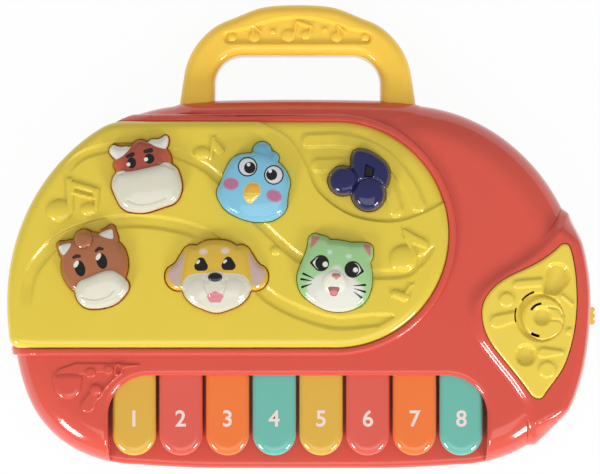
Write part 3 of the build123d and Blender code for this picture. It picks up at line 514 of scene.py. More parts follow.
PARTING_Z, FACE_Z, WALL = 17.0, 36.0, 2.2
TOP_ROUND = 15.0
LIP_WIDTH, LIP_HEIGHT, LIP_GAP = 3.0, 1.8, 0.15
PANEL_HALF, PANEL_END, PANEL_MIDDLE = 47.7, 15.8, 0.6
POD_GROW, POD_HEIGHT, POD_SLOPE, POD_ROUND = 1.5, 2.2, 3.6, 5.0
BAY_HALF, BAY_BACK, BAY_ROUND, BAY_ROLL = 79.75, -58.8, 17.0, 2.4
SPEAKER_X, SPEAKER_Y, SPEAKER_HOLE = 99.5, -33.5, 12.5
GRILLE_GAP = 0.25
STEP = 0.02                 # across a wall that stands upright in a sheet
case_right = [(0, 57.0, 0), (90.5, 39.5, -39), (121.8, -31.0, -92), (115.2, -67.7, -111),
              (104.4, -83.9, -136), (79.3, -96.5, -168), (62.0, -98.1, -176), (0, -99.28, -180)]
pod_stations = [(121, 26, -126), (98.3, -5.1, -143), (79.0, -18.2, -141), (71.6, -31.5, -90),
                (86.4, -59.0, -50), (96.8, -80.0, -87), (97.0, -108.0, -90)]
grille_stations = [(111.9, -3.1, 0), (114.9, -7.2, -76), (117.0, -26.8, -90), (112.7, -51.9, -110),
                   (104.7, -64.6, -128), (101.0, -68.2, -180), (95.4, -63.4, 126), (82.4, -46.9, 127),
                   (77.2, -32.2, 90), (84.7, -19.3, 36), (99.3, -11.7, 27), (108.1, -5.7, 40),
                   (111.9, -3.1, 0)]
case_line = Line(arc_chain(mirrored(case_right)))
pod_line = Line(arc_chain(pod_stations), closed=False)
grille_line = Line(arc_chain(grille_stations))
collar_line = Line(curve_through([(-60, 46), (-56, 52.6), (-49.5, 56.5), (-34, 57.8), (0, 58.3), (34, 57.8),
                                  (49.5, 56.5), (56, 52.6), (60, 46), (0, 36)], closed=True))
bay_corner = BAY_HALF - BAY_ROUND
bay_line = Line(np.concatenate([[(-BAY_HALF, -125.0)],
                                arc(np.array([-BAY_HALF, BAY_BACK - BAY_ROUND]), heading(90),
                                    np.array([-bay_corner, BAY_BACK])),
                                arc(np.array([bay_corner, BAY_BACK]), heading(0),
                                    np.array([BAY_HALF, BAY_BACK - BAY_ROUND])),
                                [(BAY_HALF, -125.0)]]), closed=False)


def pod_share(xy):
    """How far the pod has risen out of the casing, 0 to 1."""
    return ramp(pod_line.inside(xy) - POD_SLOPE / 2, POD_SLOPE)


# the casing's outline, which the pod pushes out a little
swollen, _ = case_line.moved(-POD_GROW)
rim_line = Line(case_line.points + (swollen - case_line.points) * pod_share(case_line.points)[:, None])


def stadium(xy):
    """How far points lie inside the panel's band with its round right end."""
    beyond = np.maximum(xy[:, 0] - PANEL_END, 0)
    return PANEL_HALF - np.hypot(beyond, xy[:, 1] - PANEL_MIDDLE)


def stadium_line(grow):
    """Edge of that band, moved out, with its left side left open."""
    half = PANEL_HALF + grow
    t = np.radians(np.linspace(-90, 90, 121))
    round_end = np.stack([half * np.cos(t), half * np.sin(t)], 1) + (PANEL_END, 0)
    return np.concatenate([[(-132.0, -half)], round_end, [(-132.0, half)]]) + (0, PANEL_MIDDLE)


def section(node, z):
    """Longest closed line in which a node's surface meets the height z, about the casing's middle."""
    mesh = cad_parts[node].data
    xyz = np.array([v.co for v in mesh.vertices]) / MM - np.array(middle) / MM
    links = {}
    for face in mesh.polygons:
        p = xyz[list(face.vertices)]
        ends = []
        for a, b in zip(p, np.roll(p, -1, 0)):
            if (a[2] - z) * (b[2] - z) < 0:
                q = a + (b - a) * (z - a[2]) / (b[2] - a[2])
                ends.append((round(q[0], 3), round(q[1], 3)))
        if len(ends) == 2 and ends[0] != ends[1]:
            links.setdefault(ends[0], []).append(ends[1])
            links.setdefault(ends[1], []).append(ends[0])
    loops = []
    while links:
        here = next(iter(links))
        loop = [here]
        while here in links:
            onward = [q for q in links.pop(here) if q in links]
            if not onward:
                break
            here = onward[0]
            loop.append(here)
        loops.append(np.array(loop))
    return max(loops, key=lambda loop: np.ptp(loop[:, 0]) + np.ptp(loop[:, 1]))


SECTION_RISE = 0.5
button_names = ["cow", "bird", "note", "horse", "dog", "cat"]
button_lines = {name: Line(section(f"button_{name}", FACE_Z + SECTION_RISE), step=0.4)
                for name in button_names}
BUTTON_ROOM, HOLE_SKIP, HOLE_SLACK = 1.9, 4, 0.4


def casing_profile(inset):
    """Height of the bare casing so far inside its outline."""
    return FACE_Z + round_over(inset, TOP_ROUND)


def casing_area(xy):
    inset, s = case_line.inside(xy), stadium(xy)
    lip = (s > -LIP_WIDTH - LIP_GAP) & (s < -LIP_GAP) & (xy[:, 1] < 0)
    area = (rim_line.inside(xy) > 0) | (lip & (inset > -LIP_HEIGHT))
    area |= collar_line.inside(xy) > 0
    area &= bay_line.inside(xy) > 0
    area &= np.hypot(xy[:, 0] - SPEAKER_X, xy[:, 1] - SPEAKER_Y) > SPEAKER_HOLE
    for line in button_lines.values():
        area &= line.inside(xy) < -BUTTON_ROOM
    return area


def toy_trumpet():
    """Shallow moulded picture on the left of the key bay: a bell, a horn with its keys and a beater."""
    stem = curve_through([(-84.9, -69.0), (-82.6, -66.8), (-80.5, -63.5), (-77.0, -60.0), (-75.4, -58.4)])
    return [Form(hull((-97.3, -60.4, 5.4), (-92.6, -55.4, 2.2)), high=0.6, soft=0.8),
            Form(hull((-100.2, -60.0, 2.2), (-92.7, -60.0, 2.2), (-96.4, -63.0, 5.6)), high=1.4, soft=3.0),
            Form(hull((-91.4, -55.9, 2.6), (-83.0, -55.3, 1.9), (-74.0, -54.9, 1.5)), high=0.6, soft=0.8),
            Form(disc(-86.9, -57.4, 2.3), high=1.3, soft=1.0),
            Form(disc(-79.3, -56.2, 2.2), high=1.3, soft=1.0),
            Form(hull((-75.2, -55.2, 2.1), (-75.2, -57.0, 2.1)), high=1.2, soft=0.8),
            Form(hull((-73.4, -54.8, 1.1), (-66.6, -54.2, 0.35)), high=0.8, soft=0.7),
            Form(disc(-84.7, -64.6, 2.6), high=1.3, soft=2.0),
            Form(hull((-88.0, -71.2, 3.0), (-86.0, -67.6, 2.5)), high=0.8, soft=0.8),
            Form(stem, 0.7, 0.8, 0.6)]


trumpet_forms = toy_trumpet()
ring_hole = Form(hull((-75.2, -55.4, 0.9), (-75.2, -56.8, 0.9)), high=0.9, soft=0.6)
LIP_OUTER_ROUND, LIP_INNER_ROUND = 1.3, 0.5
POD_TOP_END, POD_LOW_END, POD_FADE = 2.0, -78.0, 12.0


def casing_height(xy):
    inset, pod, s, bay = case_line.inside(xy), pod_line.inside(xy), stadium(xy), bay_line.inside(xy)
    near = STEP / 2
    z = np.where(inset > -near, casing_profile(inset), PARTING_Z)
    across = s + LIP_WIDTH + LIP_GAP
    lip = FACE_Z + LIP_HEIGHT + round_over(inset + LIP_HEIGHT, TOP_ROUND)
    lip_top = lip + round_over(across, LIP_OUTER_ROUND) + round_over(LIP_WIDTH - across, LIP_INNER_ROUND)
    z = np.where((across > -near) & (across < LIP_WIDTH + near), np.maximum(z, lip_top), z)
    z = np.where(s > -LIP_GAP + near, np.minimum(np.where(inset > 0, lip, PARTING_Z), FACE_Z), z)
    # towards its two ends the pod takes on the casing's own broad round and runs out into it
    end = np.maximum(ramp(xy[:, 1] - POD_TOP_END, POD_FADE), ramp(POD_LOW_END - xy[:, 1], POD_FADE))
    rim = rim_line.inside(xy)
    pod_top = FACE_Z + POD_HEIGHT + round_over(rim, POD_ROUND + (TOP_ROUND - POD_ROUND) * end)
    bare = casing_profile(rim)
    z = np.where(pod > -near, bare + (pod_top - bare) * pod_share(xy), z)
    z = np.where(grille_line.inside(xy) > -GRILLE_GAP + near, FACE_Z, z)
    collar = (collar_line.inside(xy) > -near) & (s < -LIP_WIDTH - LIP_GAP)
    z = np.where(collar, np.maximum(z, casing_profile(collar_line.inside(xy))), z)
    z += np.max([form.swell(xy) for form in trumpet_forms], axis=0)
    return z - ring_hole.high * ramp(ring_hole.inside(xy), ring_hole.soft) + round_over(bay, BAY_ROLL)


plan = Plan()
plan.rings(case_line, 0.0, -LIP_HEIGHT, *round_steps(TOP_ROUND, 7))
plan.rings(rim_line, 0.0)
plan.rings(pod_line, -STEP, 0.0, 0.7, 1.4, 2.2, 2.9, POD_SLOPE, POD_SLOPE + 0.8)
plan.rings(bay_line, 0.0, *round_steps(BAY_ROLL))
plan.rings(grille_line, -GRILLE_GAP, -GRILLE_GAP + STEP)
lip_edge = LIP_WIDTH + LIP_GAP
for grow in [LIP_GAP - STEP, LIP_GAP, LIP_GAP + 0.13, LIP_GAP + LIP_INNER_ROUND, lip_edge - LIP_OUTER_ROUND,
             *(lip_edge - r for r in round_steps(LIP_OUTER_ROUND, 22)), lip_edge, lip_edge + STEP]:
    plan.add(stadium_line(grow), closed=False)
plan.rings(collar_line, 0.0, 0.3, *round_steps(TOP_ROUND)[:2])
for form in trumpet_forms:
    form.rings(plan, 0, 0.3)
plan.add(disc(SPEAKER_X, SPEAKER_Y, SPEAKER_HOLE))
# the openings below the buttons are out of sight, so only one point in HOLE_SKIP shapes their edges
for line in button_lines.values():
    points, sound = line.moved(-BUTTON_ROOM)
    plan.add(points[::HOLE_SKIP], sound=sound[::HOLE_SKIP])
trumpet_low, trumpet_high = (-104.0, -77.0), (-62.0, -51.0)
plan.fill((-128, -102), (128, 60), 2.0, leave=(trumpet_low, trumpet_high))
plan.fill(trumpet_low, trumpet_high, 0.35)
xy, faces = plan.cut(casing_area)


def outer_edges(xy):
    """Whether an edge lies on the shell's outside, away from the bay and the openings."""
    holes = [np.abs(line.inside(xy) + BUTTON_ROOM) < HOLE_SLACK for line in button_lines.values()]
    holes += [np.abs(bay_line.inside(xy)) < 0.05,
              np.abs(np.hypot(xy[:, 0] - SPEAKER_X, xy[:, 1] - SPEAKER_Y) - SPEAKER_HOLE) < 0.1]
    return ~np.any(holes, axis=0)


casing_red = plastic("casing_red", (216, 82, 66))
shell_mesh = sheet_mesh("casing_shell", xy, faces, casing_height(xy), PARTING_Z, outer_edges)
shell = piece("casing_shell", shell_mesh, casing_red, "casing", "casing_red", ["top_housing"])
thicken = shell.modifiers.new("wall", "SOLIDIFY")
thicken.thickness, thicken.offset = WALL * MM, -1

# the floor of the key bay, with the casing's front edge and the walls up the bay's two sides
FLOOR_Z, SILL_Y, SILL_BACK, SILL_RISE, FRONT_ROUND, ROLL_GAP = 22.6, -57.4, -55.4, 2.0, 3.0, 0.3


def tray_area(xy):
    return (case_line.inside(xy) > 0) & (np.abs(xy[:, 0]) < BAY_HALF + STEP) & (xy[:, 1] < SILL_BACK)


def tray_height(xy):
    inset = case_line.inside(xy)
    z = FLOOR_Z + round_over(inset, FRONT_ROUND)
    z = np.where(xy[:, 1] > SILL_Y + STEP / 2, FLOOR_Z + SILL_RISE, z)
    side = np.minimum(FACE_Z, casing_profile(inset)) - BAY_ROLL - ROLL_GAP
    return np.where(np.abs(xy[:, 0]) > BAY_HALF + STEP / 2, np.maximum(side, z), z)


plan = Plan()
plan.rings(case_line, 0.0, *round_steps(FRONT_ROUND))
for x in (BAY_HALF, BAY_HALF + STEP):
    for side in (-1, 1):
        plan.add(Line([(side * x, -102), (side * x, -50)], closed=False).points, closed=False)
for y in (SILL_Y, SILL_Y + STEP, SILL_BACK):
    plan.add(Line([(-BAY_HALF - 1, y), (BAY_HALF + 1, y)], closed=False).points, closed=False)
plan.fill((-81, -100), (81, -56), 2.5)
block("key_bay_floor", plan, tray_area, tray_height, lambda xy: PARTING_Z,
      casing_red, "casing", "casing_red")

# ---------------------------------------------------------------- button panel
# The yellow plate that snaps into the lip, with an opening for each button. Two ribbons and a field are sunk
# in its face, two bars are left standing in the field, and small notes stand up from it. Its left end hangs
# down as a skirt.

PANEL_Z, PANEL_ROUND, PANEL_DROP, SKIRT_Z, PANEL_GROW = 38.5, 4.4, 2.4, 18.6, 0.4
PANEL_CORNER, PANEL_SHOULDER = 5.0, 20.0
BUTTON_GAP, HOLE_ROUND = 0.15, 0.45
RELIEF, RELIEF_WALL = 0.9, 1.2
RIBBON_END, RIBBON_FADE, NOTE_FADE, FREE_DEPTH = 6.0, 12.0, 2.0, 8.0
SEAT_INSET, SEAT_DROP, ROUND_DROP = 10.0, 1.2, 4.0
CUT_SOFT = 0.6


def panel_outline():
    """Casing outline moved out a little, cut to the panel's band, with its two left corners rounded."""
    wide = Line(case_line.points, step=0.3)
    middles, ends = [], []
    for side, radius in ((1, PANEL_SHOULDER), (-1, PANEL_CORNER)):
        inner, _ = wide.moved(radius - PANEL_GROW)
        left = inner[inner[:, 0] < 0]
        centre = left[np.argmin(np.abs(left[:, 1] - PANEL_MIDDLE - side * (PANEL_HALF - radius)))]
        foot = wide.points[np.argmin(np.hypot(*(wide.points - centre).T))]
        middles.append(centre)
        ends.append((foot - centre) / np.linalg.norm(foot - centre))
    upper = [middles[0] + PANEL_SHOULDER * heading(a)
             for a in np.linspace(90, math.degrees(math.atan2(*ends[0][::-1])) % 360, 25)]
    lower = [middles[1] + PANEL_CORNER * heading(a)
             for a in np.linspace(math.degrees(math.atan2(*ends[1][::-1])) % 360, 270, 15)]
    outer, _ = wide.moved(-PANEL_GROW)
    left = outer[(outer[:, 0] < -60) & (outer[:, 1] < upper[-1][1] - 0.3) & (outer[:, 1] > lower[0][1] + 0.3)]
    left = left[np.argsort(-left[:, 1])]
    t = np.radians(np.linspace(-90, 90, 151))
    right = np.stack([PANEL_HALF * np.cos(t), PANEL_HALF * np.sin(t)], 1) + (PANEL_END, PANEL_MIDDLE)
    return np.concatenate([right, upper, left, lower])


panel_line = Line(panel_outline())


def panel_area(xy):
    area = panel_line.inside(xy) > 0
    for line in button_lines.values():
        area &= line.inside(xy) < -BUTTON_GAP
    return area


ribbons = [
    Form(curve_through([(-99.0, 25.4), (-88.0, 34.6), (-66.0, 37.0), (-39.0, 28.9), (-15.6, 5.0),
                        (8.0, -13.0), (42.0, -15.9), (52.0, -9.6)]), 1.7),
    Form(curve_through([(44.0, -16.8), (50.0, -14.0), (54.5, -9.5), (57.2, -4.4), (53.5, -7.2),
                        (49.5, -9.8)], closed=True)),
    Form(curve_through([(-114.6, -31.0), (-110.4, -13.6), (-96.0, 0), (-70.0, 6.2), (-42.0, 1.6),
                        (-25.0, -11.0), (-10.5, -26.4), (13.0, -35.9), (33.0, -35.3)]), 2.5),
    Form(hull((33.0, -35.3, 2.5), (39.5, -33.6, 0.6)))]
ribbon_ends = [(-99.0, 25.4), (-114.6, -31.0)]
bars = [Form(curve_through([(4.6, 39.9), (20.0, 39.8), (35.0, 34.4), (45.4, 23.0), (50.6, 12.8)]), 2.7),
        Form(curve_through([(8.4, 29.6), (22.0, 29.2), (36.2, 21.6), (41.2, 10.8)]), 2.6)]
field = Form(curve_through([(-25.0, 52.0), (-13.0, 46.5), (-3.6, 40.8), (3.0, 30.6), (9.0, 18.4),
                            (22.0, 9.0), (38.0, 6.0), (50.0, 8.6), (61.6, 14.4), (68.0, 18.0)]), 0.001)
panel_notes = [
    ball(-99.5, 10.5, 5.5, 1.7, 4.8), Form([(-95.2, 11.0), (-95.6, 23.2)], 1.4, 1.1, 1.2),
    Form(hull((-95.6, 22.6, 1.0), (-83.9, 19.2, 1.0), (-84.3, 15.6, 0.8), (-94.8, 18.0, 0.8)),
         high=1.1, soft=0.9),
    Form([(-84.4, 11.5), (-83.9, 19.0)], 0.9, 1.0, 0.8), ball(-87.5, 11.2, 3.4, 1.3, 2.9),
    ball(-40.0, 34.5, 3.6, 1.3, 3.0), Form([(-36.3, 33.0), (-35.2, 41.0)], 0.8, 1.0, 0.8),
    Form(hull((-35.2, 40.6, 0.5), (-31.2, 35.6, 0.8), (-32.6, 34.4, 0.6), (-35.6, 36.8, 0.6)),
         high=0.9, soft=0.8),
    ball(44.3, -9.6, 5.9, 1.7),
    Form(hull((44.6, 2.4, 0.7), (46.5, -2.5, 1.2), (52.8, -3.2, 1.8), (53.6, -4.4, 1.0)), high=1.0, soft=0.9),
    Form(hull((45.4, -1.0, 1.0), (49.2, -8.0, 1.0)), high=1.0, soft=0.9),
    Form(hull((40.6, -24.2, 1.8), (44.8, -25.6, 2.1)), high=1.2, soft=1.4),
    Form([(45.6, -23.6), (47.6, -20.4)], 0.9, 0.9, 0.8), ball(-9.3, -6.2, 2.2, 1.0)]
note_cuts = [Form([(-93.0, 19.6), (-86.4, 17.6)], 0.6), Form([(48.4, -3.6), (53.5, -5.5), (50.0, -9.0)])]


def panel_height(xy):
    inset = panel_line.inside(xy)
    sunk = ramp(field.line.inside(xy), RELIEF_WALL)
    for ribbon in ribbons:
        sunk = np.maximum(sunk, ramp(ribbon.inside(xy), RELIEF_WALL))
    for bar in bars:
        sunk = np.minimum(sunk, 1 - ramp(bar.inside(xy), RELIEF_WALL))
    rise = np.max([note.swell(xy) for note in panel_notes], axis=0)
    for cut in note_cuts:
        rise *= 1 - ramp(cut.inside(xy), CUT_SOFT)
    for end in ribbon_ends:
        sunk *= ramp(np.hypot(*(xy - end).T) - RIBBON_END, RIBBON_FADE)
    # the round falls all the way on the free left end and only as far as the lip elsewhere
    drop = PANEL_ROUND - (PANEL_ROUND - PANEL_DROP) * ramp(case_line.inside(xy) - FREE_DEPTH, FREE_DEPTH)
    z = PANEL_Z + round_over(inset, PANEL_ROUND) * drop / PANEL_ROUND
    z += rise * ramp(inset - PANEL_ROUND, NOTE_FADE) - RELIEF * sunk
    for line in button_lines.values():
        z += round_over(-line.near(xy) - BUTTON_GAP, HOLE_ROUND)
    return z


def panel_underside(xy):
    """Just below the casing's face, lower over its rounded edge, and the skirt's foot beyond the casing."""
    inset = case_line.inside(xy)
    near_edge = np.where(inset > 0, casing_profile(inset) - ROUND_DROP, SKIRT_Z)
    return np.where(inset > SEAT_INSET, FACE_Z - SEAT_DROP, near_edge)


plan = Plan()
plan.rings(panel_line, 0.0, *round_steps(PANEL_ROUND, 9), PANEL_ROUND + 1.0)
for line in button_lines.values():
    plan.rings(line, *(-BUTTON_GAP - r for r in [0.0] + round_steps(HOLE_ROUND, 30)), -BUTTON_GAP - 1.2)
for form in ribbons + bars + [field]:
    form.rings(plan, -RELIEF_WALL / 2, -RELIEF_WALL / 4, 0, RELIEF_WALL / 4, RELIEF_WALL / 2)
for form in panel_notes + note_cuts:
    form.rings(plan, 0, 0.3)
plan.fill((-126, -48), (64, 48), 0.8)
panel_yellow = plastic("panel_yellow", (226, 200, 66))
block("button_plate", plan, panel_area, panel_height, panel_underside,
      panel_yellow, "casing", "panel_yellow", ["button_panel"])

# ---------------------------------------------------------------- speaker grille
# A yellow plate let into the pod over the speaker. A curl, a drop and a disc are sunk in its face, small bars
# and discs stand up from it, and four curved slots on the curl's edges let the sound out.

GRILLE_Z, GRILLE_ROUND = 38.7, 1.3
CURL_X, CURL_Y = 102.3, -33.5
HOLLOW_WALL, CURL_DEPTH, GROOVE_WALL = 1.5, 1.9, 0.8
RELIEF_EDGE = 1.4           # the relief ends this far inside the plate's outline
# radius, half width, first heading and sweep of each slot
slots = [(10.6, 0.45, 108, 34), (11.3, 0.4, 163, 30), (5.2, 0.5, 93, 58), (8.5, 0.6, 238, 25)]


def about_curl(radius, degrees):
    """Points at a radius and angles about the curl's middle."""
    t = np.radians(degrees)
    return np.stack([CURL_X + radius * np.cos(t), CURL_Y + radius * np.sin(t)], 1)


def slot_outline(radius, half, first, sweep):
    """Outline of a slot along an arc about the curl's middle."""
    turn = np.linspace(first, first + sweep, 24)
    return np.concatenate([about_curl(radius + half, turn), about_curl(radius - half, turn)[::-1]])


def turned(*radii):
    """Smooth outline about the curl's middle, given by its radius in even steps of a turn."""
    return curve_through(about_curl(np.array(radii), np.arange(len(radii)) * 360 / len(radii)), closed=True)


slot_lines = [Line(slot_outline(*slot), step=0.2) for slot in slots]
curl_outer = Form(turned(9.9, 9.6, 10.0, 11.2, 11.6, 11.4, 11.2, 10.6))
curl_inner = Form(turned(8.6, 7.6, 7.3, 7.0, 7.0, 8.0, 9.4, 9.4))
grille_hollows = [Form(disc(CURL_X, CURL_Y, 4.3), high=1.6),
                  Form(hull((108.5, -16.8, 6.0), (107.2, -20.2, 4.9), (103.6, -23.6, 1.3)), high=2.2),
                  Form(disc(95.5, -49.8, 4.9), high=2.0)]
curl_grooves = [Form(curve_through([(104.5, -29.8), (108.6, -30.4), (110.8, -33.2)]), 0.4, 0.5),
                Form(curve_through([(106.4, -35.0), (109.6, -35.4), (111.2, -37.4)]), 0.4, 0.4)]
grille_bumps = [
    Form(disc(87.5, -26.7, 3.2), high=1.0, soft=1.3),
    Form(disc(104.4, -56.0, 3.7), high=1.0, soft=1.3),
    Form(hull((92.0, -20.3, 1.9), (103.0, -19.4, 1.9)), high=0.9, soft=1.1),
    Form(hull((83.4, -35.8, 2.9), (91.0, -33.8, 2.4)), high=0.9, soft=1.1),
    Form(hull((102.6, -49.0, 2.4), (110.4, -48.8, 1.2)), high=0.9, soft=1.1),
    Form(hull((110.9, -25.2, 1.0), (114.9, -28.6, 1.0)), high=0.8, soft=1.0),
    Form(disc(113.8, -40.0, 1.7), high=0.8, soft=1.1)]


def grille_area(xy):
    area = grille_line.inside(xy) > 0
    for line in slot_lines:
        area &= line.inside(xy) < 0
    return area


def grille_height(xy):
    edge = grille_line.inside(xy)
    rise = np.max([bump.swell(xy) for bump in grille_bumps], axis=0)
    ring = np.minimum(curl_outer.inside(xy), -curl_inner.inside(xy))
    sunk = CURL_DEPTH * ramp(ring - HOLLOW_WALL / 2, HOLLOW_WALL)
    for hollow in grille_hollows:
        sunk = np.maximum(sunk, hollow.high * ramp(hollow.inside(xy) - HOLLOW_WALL / 2, HOLLOW_WALL))
    rise = np.where(sunk > 0, -sunk, rise)
    for groove in curl_grooves:
        rise -= groove.high * ramp(groove.inside(xy), GROOVE_WALL)
    return GRILLE_Z + rise * ramp(edge - RELIEF_EDGE, 1.0) + round_over(edge, GRILLE_ROUND)


plan = Plan()
plan.rings(grille_line, 0.0, *round_steps(GRILLE_ROUND, 18))
for line in slot_lines:
    plan.rings(line, 0.0)
for form in grille_hollows + [curl_outer]:
    form.rings(plan, 0, HOLLOW_WALL / 2, HOLLOW_WALL)
curl_inner.rings(plan, 0, -HOLLOW_WALL / 2, -HOLLOW_WALL)
for form in grille_bumps:
    form.rings(plan, 0, 0.25)
plan.fill((76, -69), (118, -2), 0.4)
grille_yellow = plastic("grille_yellow", (236, 208, 78))
block("grille_plate", plan, grille_area, grille_height, lambda xy: FACE_Z,
      grille_yellow, "casing", "panel_yellow", ["speaker_grille"])

# ---------------------------------------------------------------- handle
# Two yellow moulded halves that meet on the casing's parting plane, with their feet in the collar. The front
# one has a sunk panel with small raised notes in it.

GRIP_TOP, GRIP_LOW, GAP_HALF, GRIP_Y, GAP_ROUND = 26.0, 17.0, 35.2, 76.9, 12.0
GRIP_ROUND, POCKET, POCKET_WALL, FOOT_X, FOOT_Y = 4.4, 1.4, 1.3, 50.4, 45.5
handle_right = [(0, 98.58, 0), (21.0, 95.6, -23), (30.0, 91.9, -20), (43.8, 80.6, -56), (50.2, 57.0, -82)]
right_half = np.concatenate([arc_chain(handle_right), [(FOOT_X, 55.0), (FOOT_X, FOOT_Y), (GAP_HALF, FOOT_Y)],
                             arc(np.array([GAP_HALF, GRIP_Y - GAP_ROUND]), heading(90),
                                 np.array([GAP_HALF - GAP_ROUND, GRIP_Y])), [(0.0, GRIP_Y)]])
handle_line = Line(np.concatenate([right_half, (right_half * (-1, 1))[::-1][1:-1]]))
pocket_half = arc_chain([(0, 93.4, 0), (19.5, 89.7, -21), (28.8, 87.3, -10), (32.0, 84.3, -90),
                         (29.0, 81.3, -180)])
pocket = Form(np.concatenate([pocket_half, (pocket_half * (-1, 1))[::-1][:-1]]))
pocket_notes = [ball(x, y, r, 1.0) for x, y, r in
                ((-27.9, 84.5, 2.0), (-18.5, 84.5, 2.6), (-10.5, 87.0, 1.2), (-4.0, 85.0, 3.0),
                 (3.5, 85.5, 2.2), (11.5, 87.8, 1.2), (16.5, 84.5, 2.6), (28.8, 84.5, 2.0))]
pocket_notes += [Form(points, half, 0.9, 0.6) for points, half in
                 (([(-18.9, 86.0), (-19.0, 90.0), (-16.0, 87.0)], 0.6), ([(-1.6, 85.6), (-0.4, 91.0)], 0.6),
                  ([(5.3, 86.0), (5.5, 89.2)], 0.6), ([(0.0, 91.0), (5.5, 89.2)], 0.9),
                  ([(17.4, 85.6), (17.0, 89.5), (20.0, 87.0)], 0.6))]


def within(line):
    """Test of which points lie inside a line."""
    return lambda xy: line.inside(xy) > 0


def grip_height(xy):
    """The bare half: flat with a rounded edge."""
    return GRIP_TOP + round_over(handle_line.inside(xy), GRIP_ROUND)


def grip_front_height(xy):
    rise = np.max([note.swell(xy) for note in pocket_notes], axis=0)
    return grip_height(xy) - (POCKET - rise) * ramp(pocket.inside(xy) - POCKET_WALL / 2, POCKET_WALL)


plan = Plan()
plan.rings(handle_line, 0.0, *round_steps(GRIP_ROUND, 9))
pocket.rings(plan, 0, POCKET_WALL / 2, POCKET_WALL)
for form in pocket_notes:
    form.rings(plan, 0)
pocket_low, pocket_high = (-35, 80), (35, 95)
plan.fill((-52, 44), (52, 99), 1.3, leave=(pocket_low, pocket_high))
plan.fill(pocket_low, pocket_high, 0.4)
handle_yellow = plastic("handle_yellow", (255, 208, 72))
block("grip_front", plan, within(handle_line), grip_front_height, lambda xy: GRIP_LOW,
      handle_yellow, "casing", "handle_yellow", ["handle_front"])

plan = Plan()
plan.rings(handle_line, 0.0, *round_steps(GRIP_ROUND, 9))
plan.fill((-52, 44), (52, 99), 1.6)
xy, faces = plan.cut(within(handle_line))
rear = block_mesh("grip_rear", xy, faces, grip_height(xy), GRIP_LOW, within(handle_line))
for vertex in rear.vertices:
    vertex.co.z = 2 * GRIP_LOW * MM - vertex.co.z
rear.flip_normals()
piece("grip_rear", rear, handle_yellow, "casing", "handle_yellow", ["handle_rear"])

# ---------------------------------------------------------------- keys
# Eight glossy caps with round front ends, each on an arm that turns on the steel rod behind the panel. They
# run through four colours twice and carry a printed number.

KEY_COUNT, KEY_PITCH, KEY_WIDTH, KEY_TIP, KEY_Z = 8, 19.7, 18.4, -92.6, 33.5
KEY_LOW, KEY_BACK, KEY_ROUND, TIP_ROUND = 26.3, -54.4, 2.2, 4.2
DIGIT_Y, DIGIT_TALL, DIGIT_LIFT, DIGIT_THICK, DIGIT_SPREAD = -77.2, 9.5, 0.01, 0.02, 0.16
TIP_DEEPER = 0.15           # share by which the cap's round falls deeper at its tip
key_colours = [("key_yellow", (219, 172, 66)), ("key_coral", (221, 92, 78)), ("key_orange", (238, 120, 54)),
               ("key_teal", (108, 183, 168))]
key_finishes = [plastic(name, colour) for name, colour in key_colours]
print_ink = plastic("key_print", (236, 214, 206), roughness=0.4, coat=0.0)


def key_cap(x):
    """The cap's outline in plan and its rounded height."""
    radius = KEY_WIDTH / 2
    t = np.radians(np.linspace(180, 360, 61))
    tip = np.stack([x + radius * np.cos(t), KEY_TIP + radius + radius * np.sin(t)], 1)
    line = Line(np.concatenate([tip, [(x + radius, KEY_BACK), (x - radius, KEY_BACK)]]))

    def height(xy):
        end = ramp(KEY_TIP + radius - xy[:, 1], 2 * radius)
        wide = KEY_ROUND + (TIP_ROUND - KEY_ROUND) * end
        t = np.clip(line.inside(xy) / wide, 0, 1)
        return KEY_Z - KEY_ROUND * (1 - np.sqrt(np.maximum(1 - (1 - t) ** 2, 0))) * (1 + TIP_DEEPER * end)

    return line, height


def digit_mesh(text, x, y, z, tall):
    """Printed digit: a thin flat mesh lying on the cap."""
    curve = bpy.data.curves.new("digit", "FONT")
    curve.body, curve.size, curve.align_x, curve.align_y = text, tall * MM, "CENTER", "CENTER"
    curve.extrude, curve.offset = DIGIT_THICK * MM, DIGIT_SPREAD * MM
    holder = added("digit", curve)
    bpy.context.view_layer.update()
    mesh = bpy.data.meshes.new_from_object(holder.evaluated_get(bpy.context.evaluated_depsgraph_get()))
    bpy.data.objects.remove(holder)
    for vertex in mesh.vertices:
        vertex.co += middle + Vector((x, y, z)) * MM
    return mesh


key_rings = [KEY_ROUND * s for s in (0, 0.02, 0.06, 0.14, 0.25, 0.4, 0.58, 0.8, 1)] + [2.7, 3.3, TIP_ROUND]
for number in range(1, KEY_COUNT + 1):
    x = (number - (KEY_COUNT + 1) / 2) * KEY_PITCH
    line, height = key_cap(x)
    plan = Plan()
    plan.rings(line, *key_rings)
    plan.fill((x - 10, -94), (x + 10, -54), 1.1)
    turn = (number - 1) % len(key_colours)
    block(f"key_cap_{number}", plan, within(line), height, lambda xy: KEY_LOW,
          key_finishes[turn], f"key_{number}", key_colours[turn][0], [f"key_{number}"])
    digit = digit_mesh(str(number), x, DIGIT_Y, KEY_Z + DIGIT_LIFT, DIGIT_TALL)
    piece(f"key_print_{number}", digit, print_ink, f"key_{number}")

# ---------------------------------------------------------------- face buttons
# Six domed caps that pop up through the panel: five animals' heads and a pair of notes. Each is moulded in
# its own colour with a raised muzzle or other forms, and its eyes, mouth and markings are pad printed.

BUTTON_LOW, BUTTON_TOP, BUTTON_DOME, BUTTON_EDGE = 36.4, 43.7, 55.0, 2.6
CREASE_SOFT, HOLLOW_SOFT, LEAST_WALL = 1.0, 0.8, 1.2
WHITE, BLACK, CREAM = (222, 222, 212), (10, 8, 8), (209, 206, 188)


def smooth(*points):
    """Smooth outline through points."""
    return curve_through(points, closed=True)


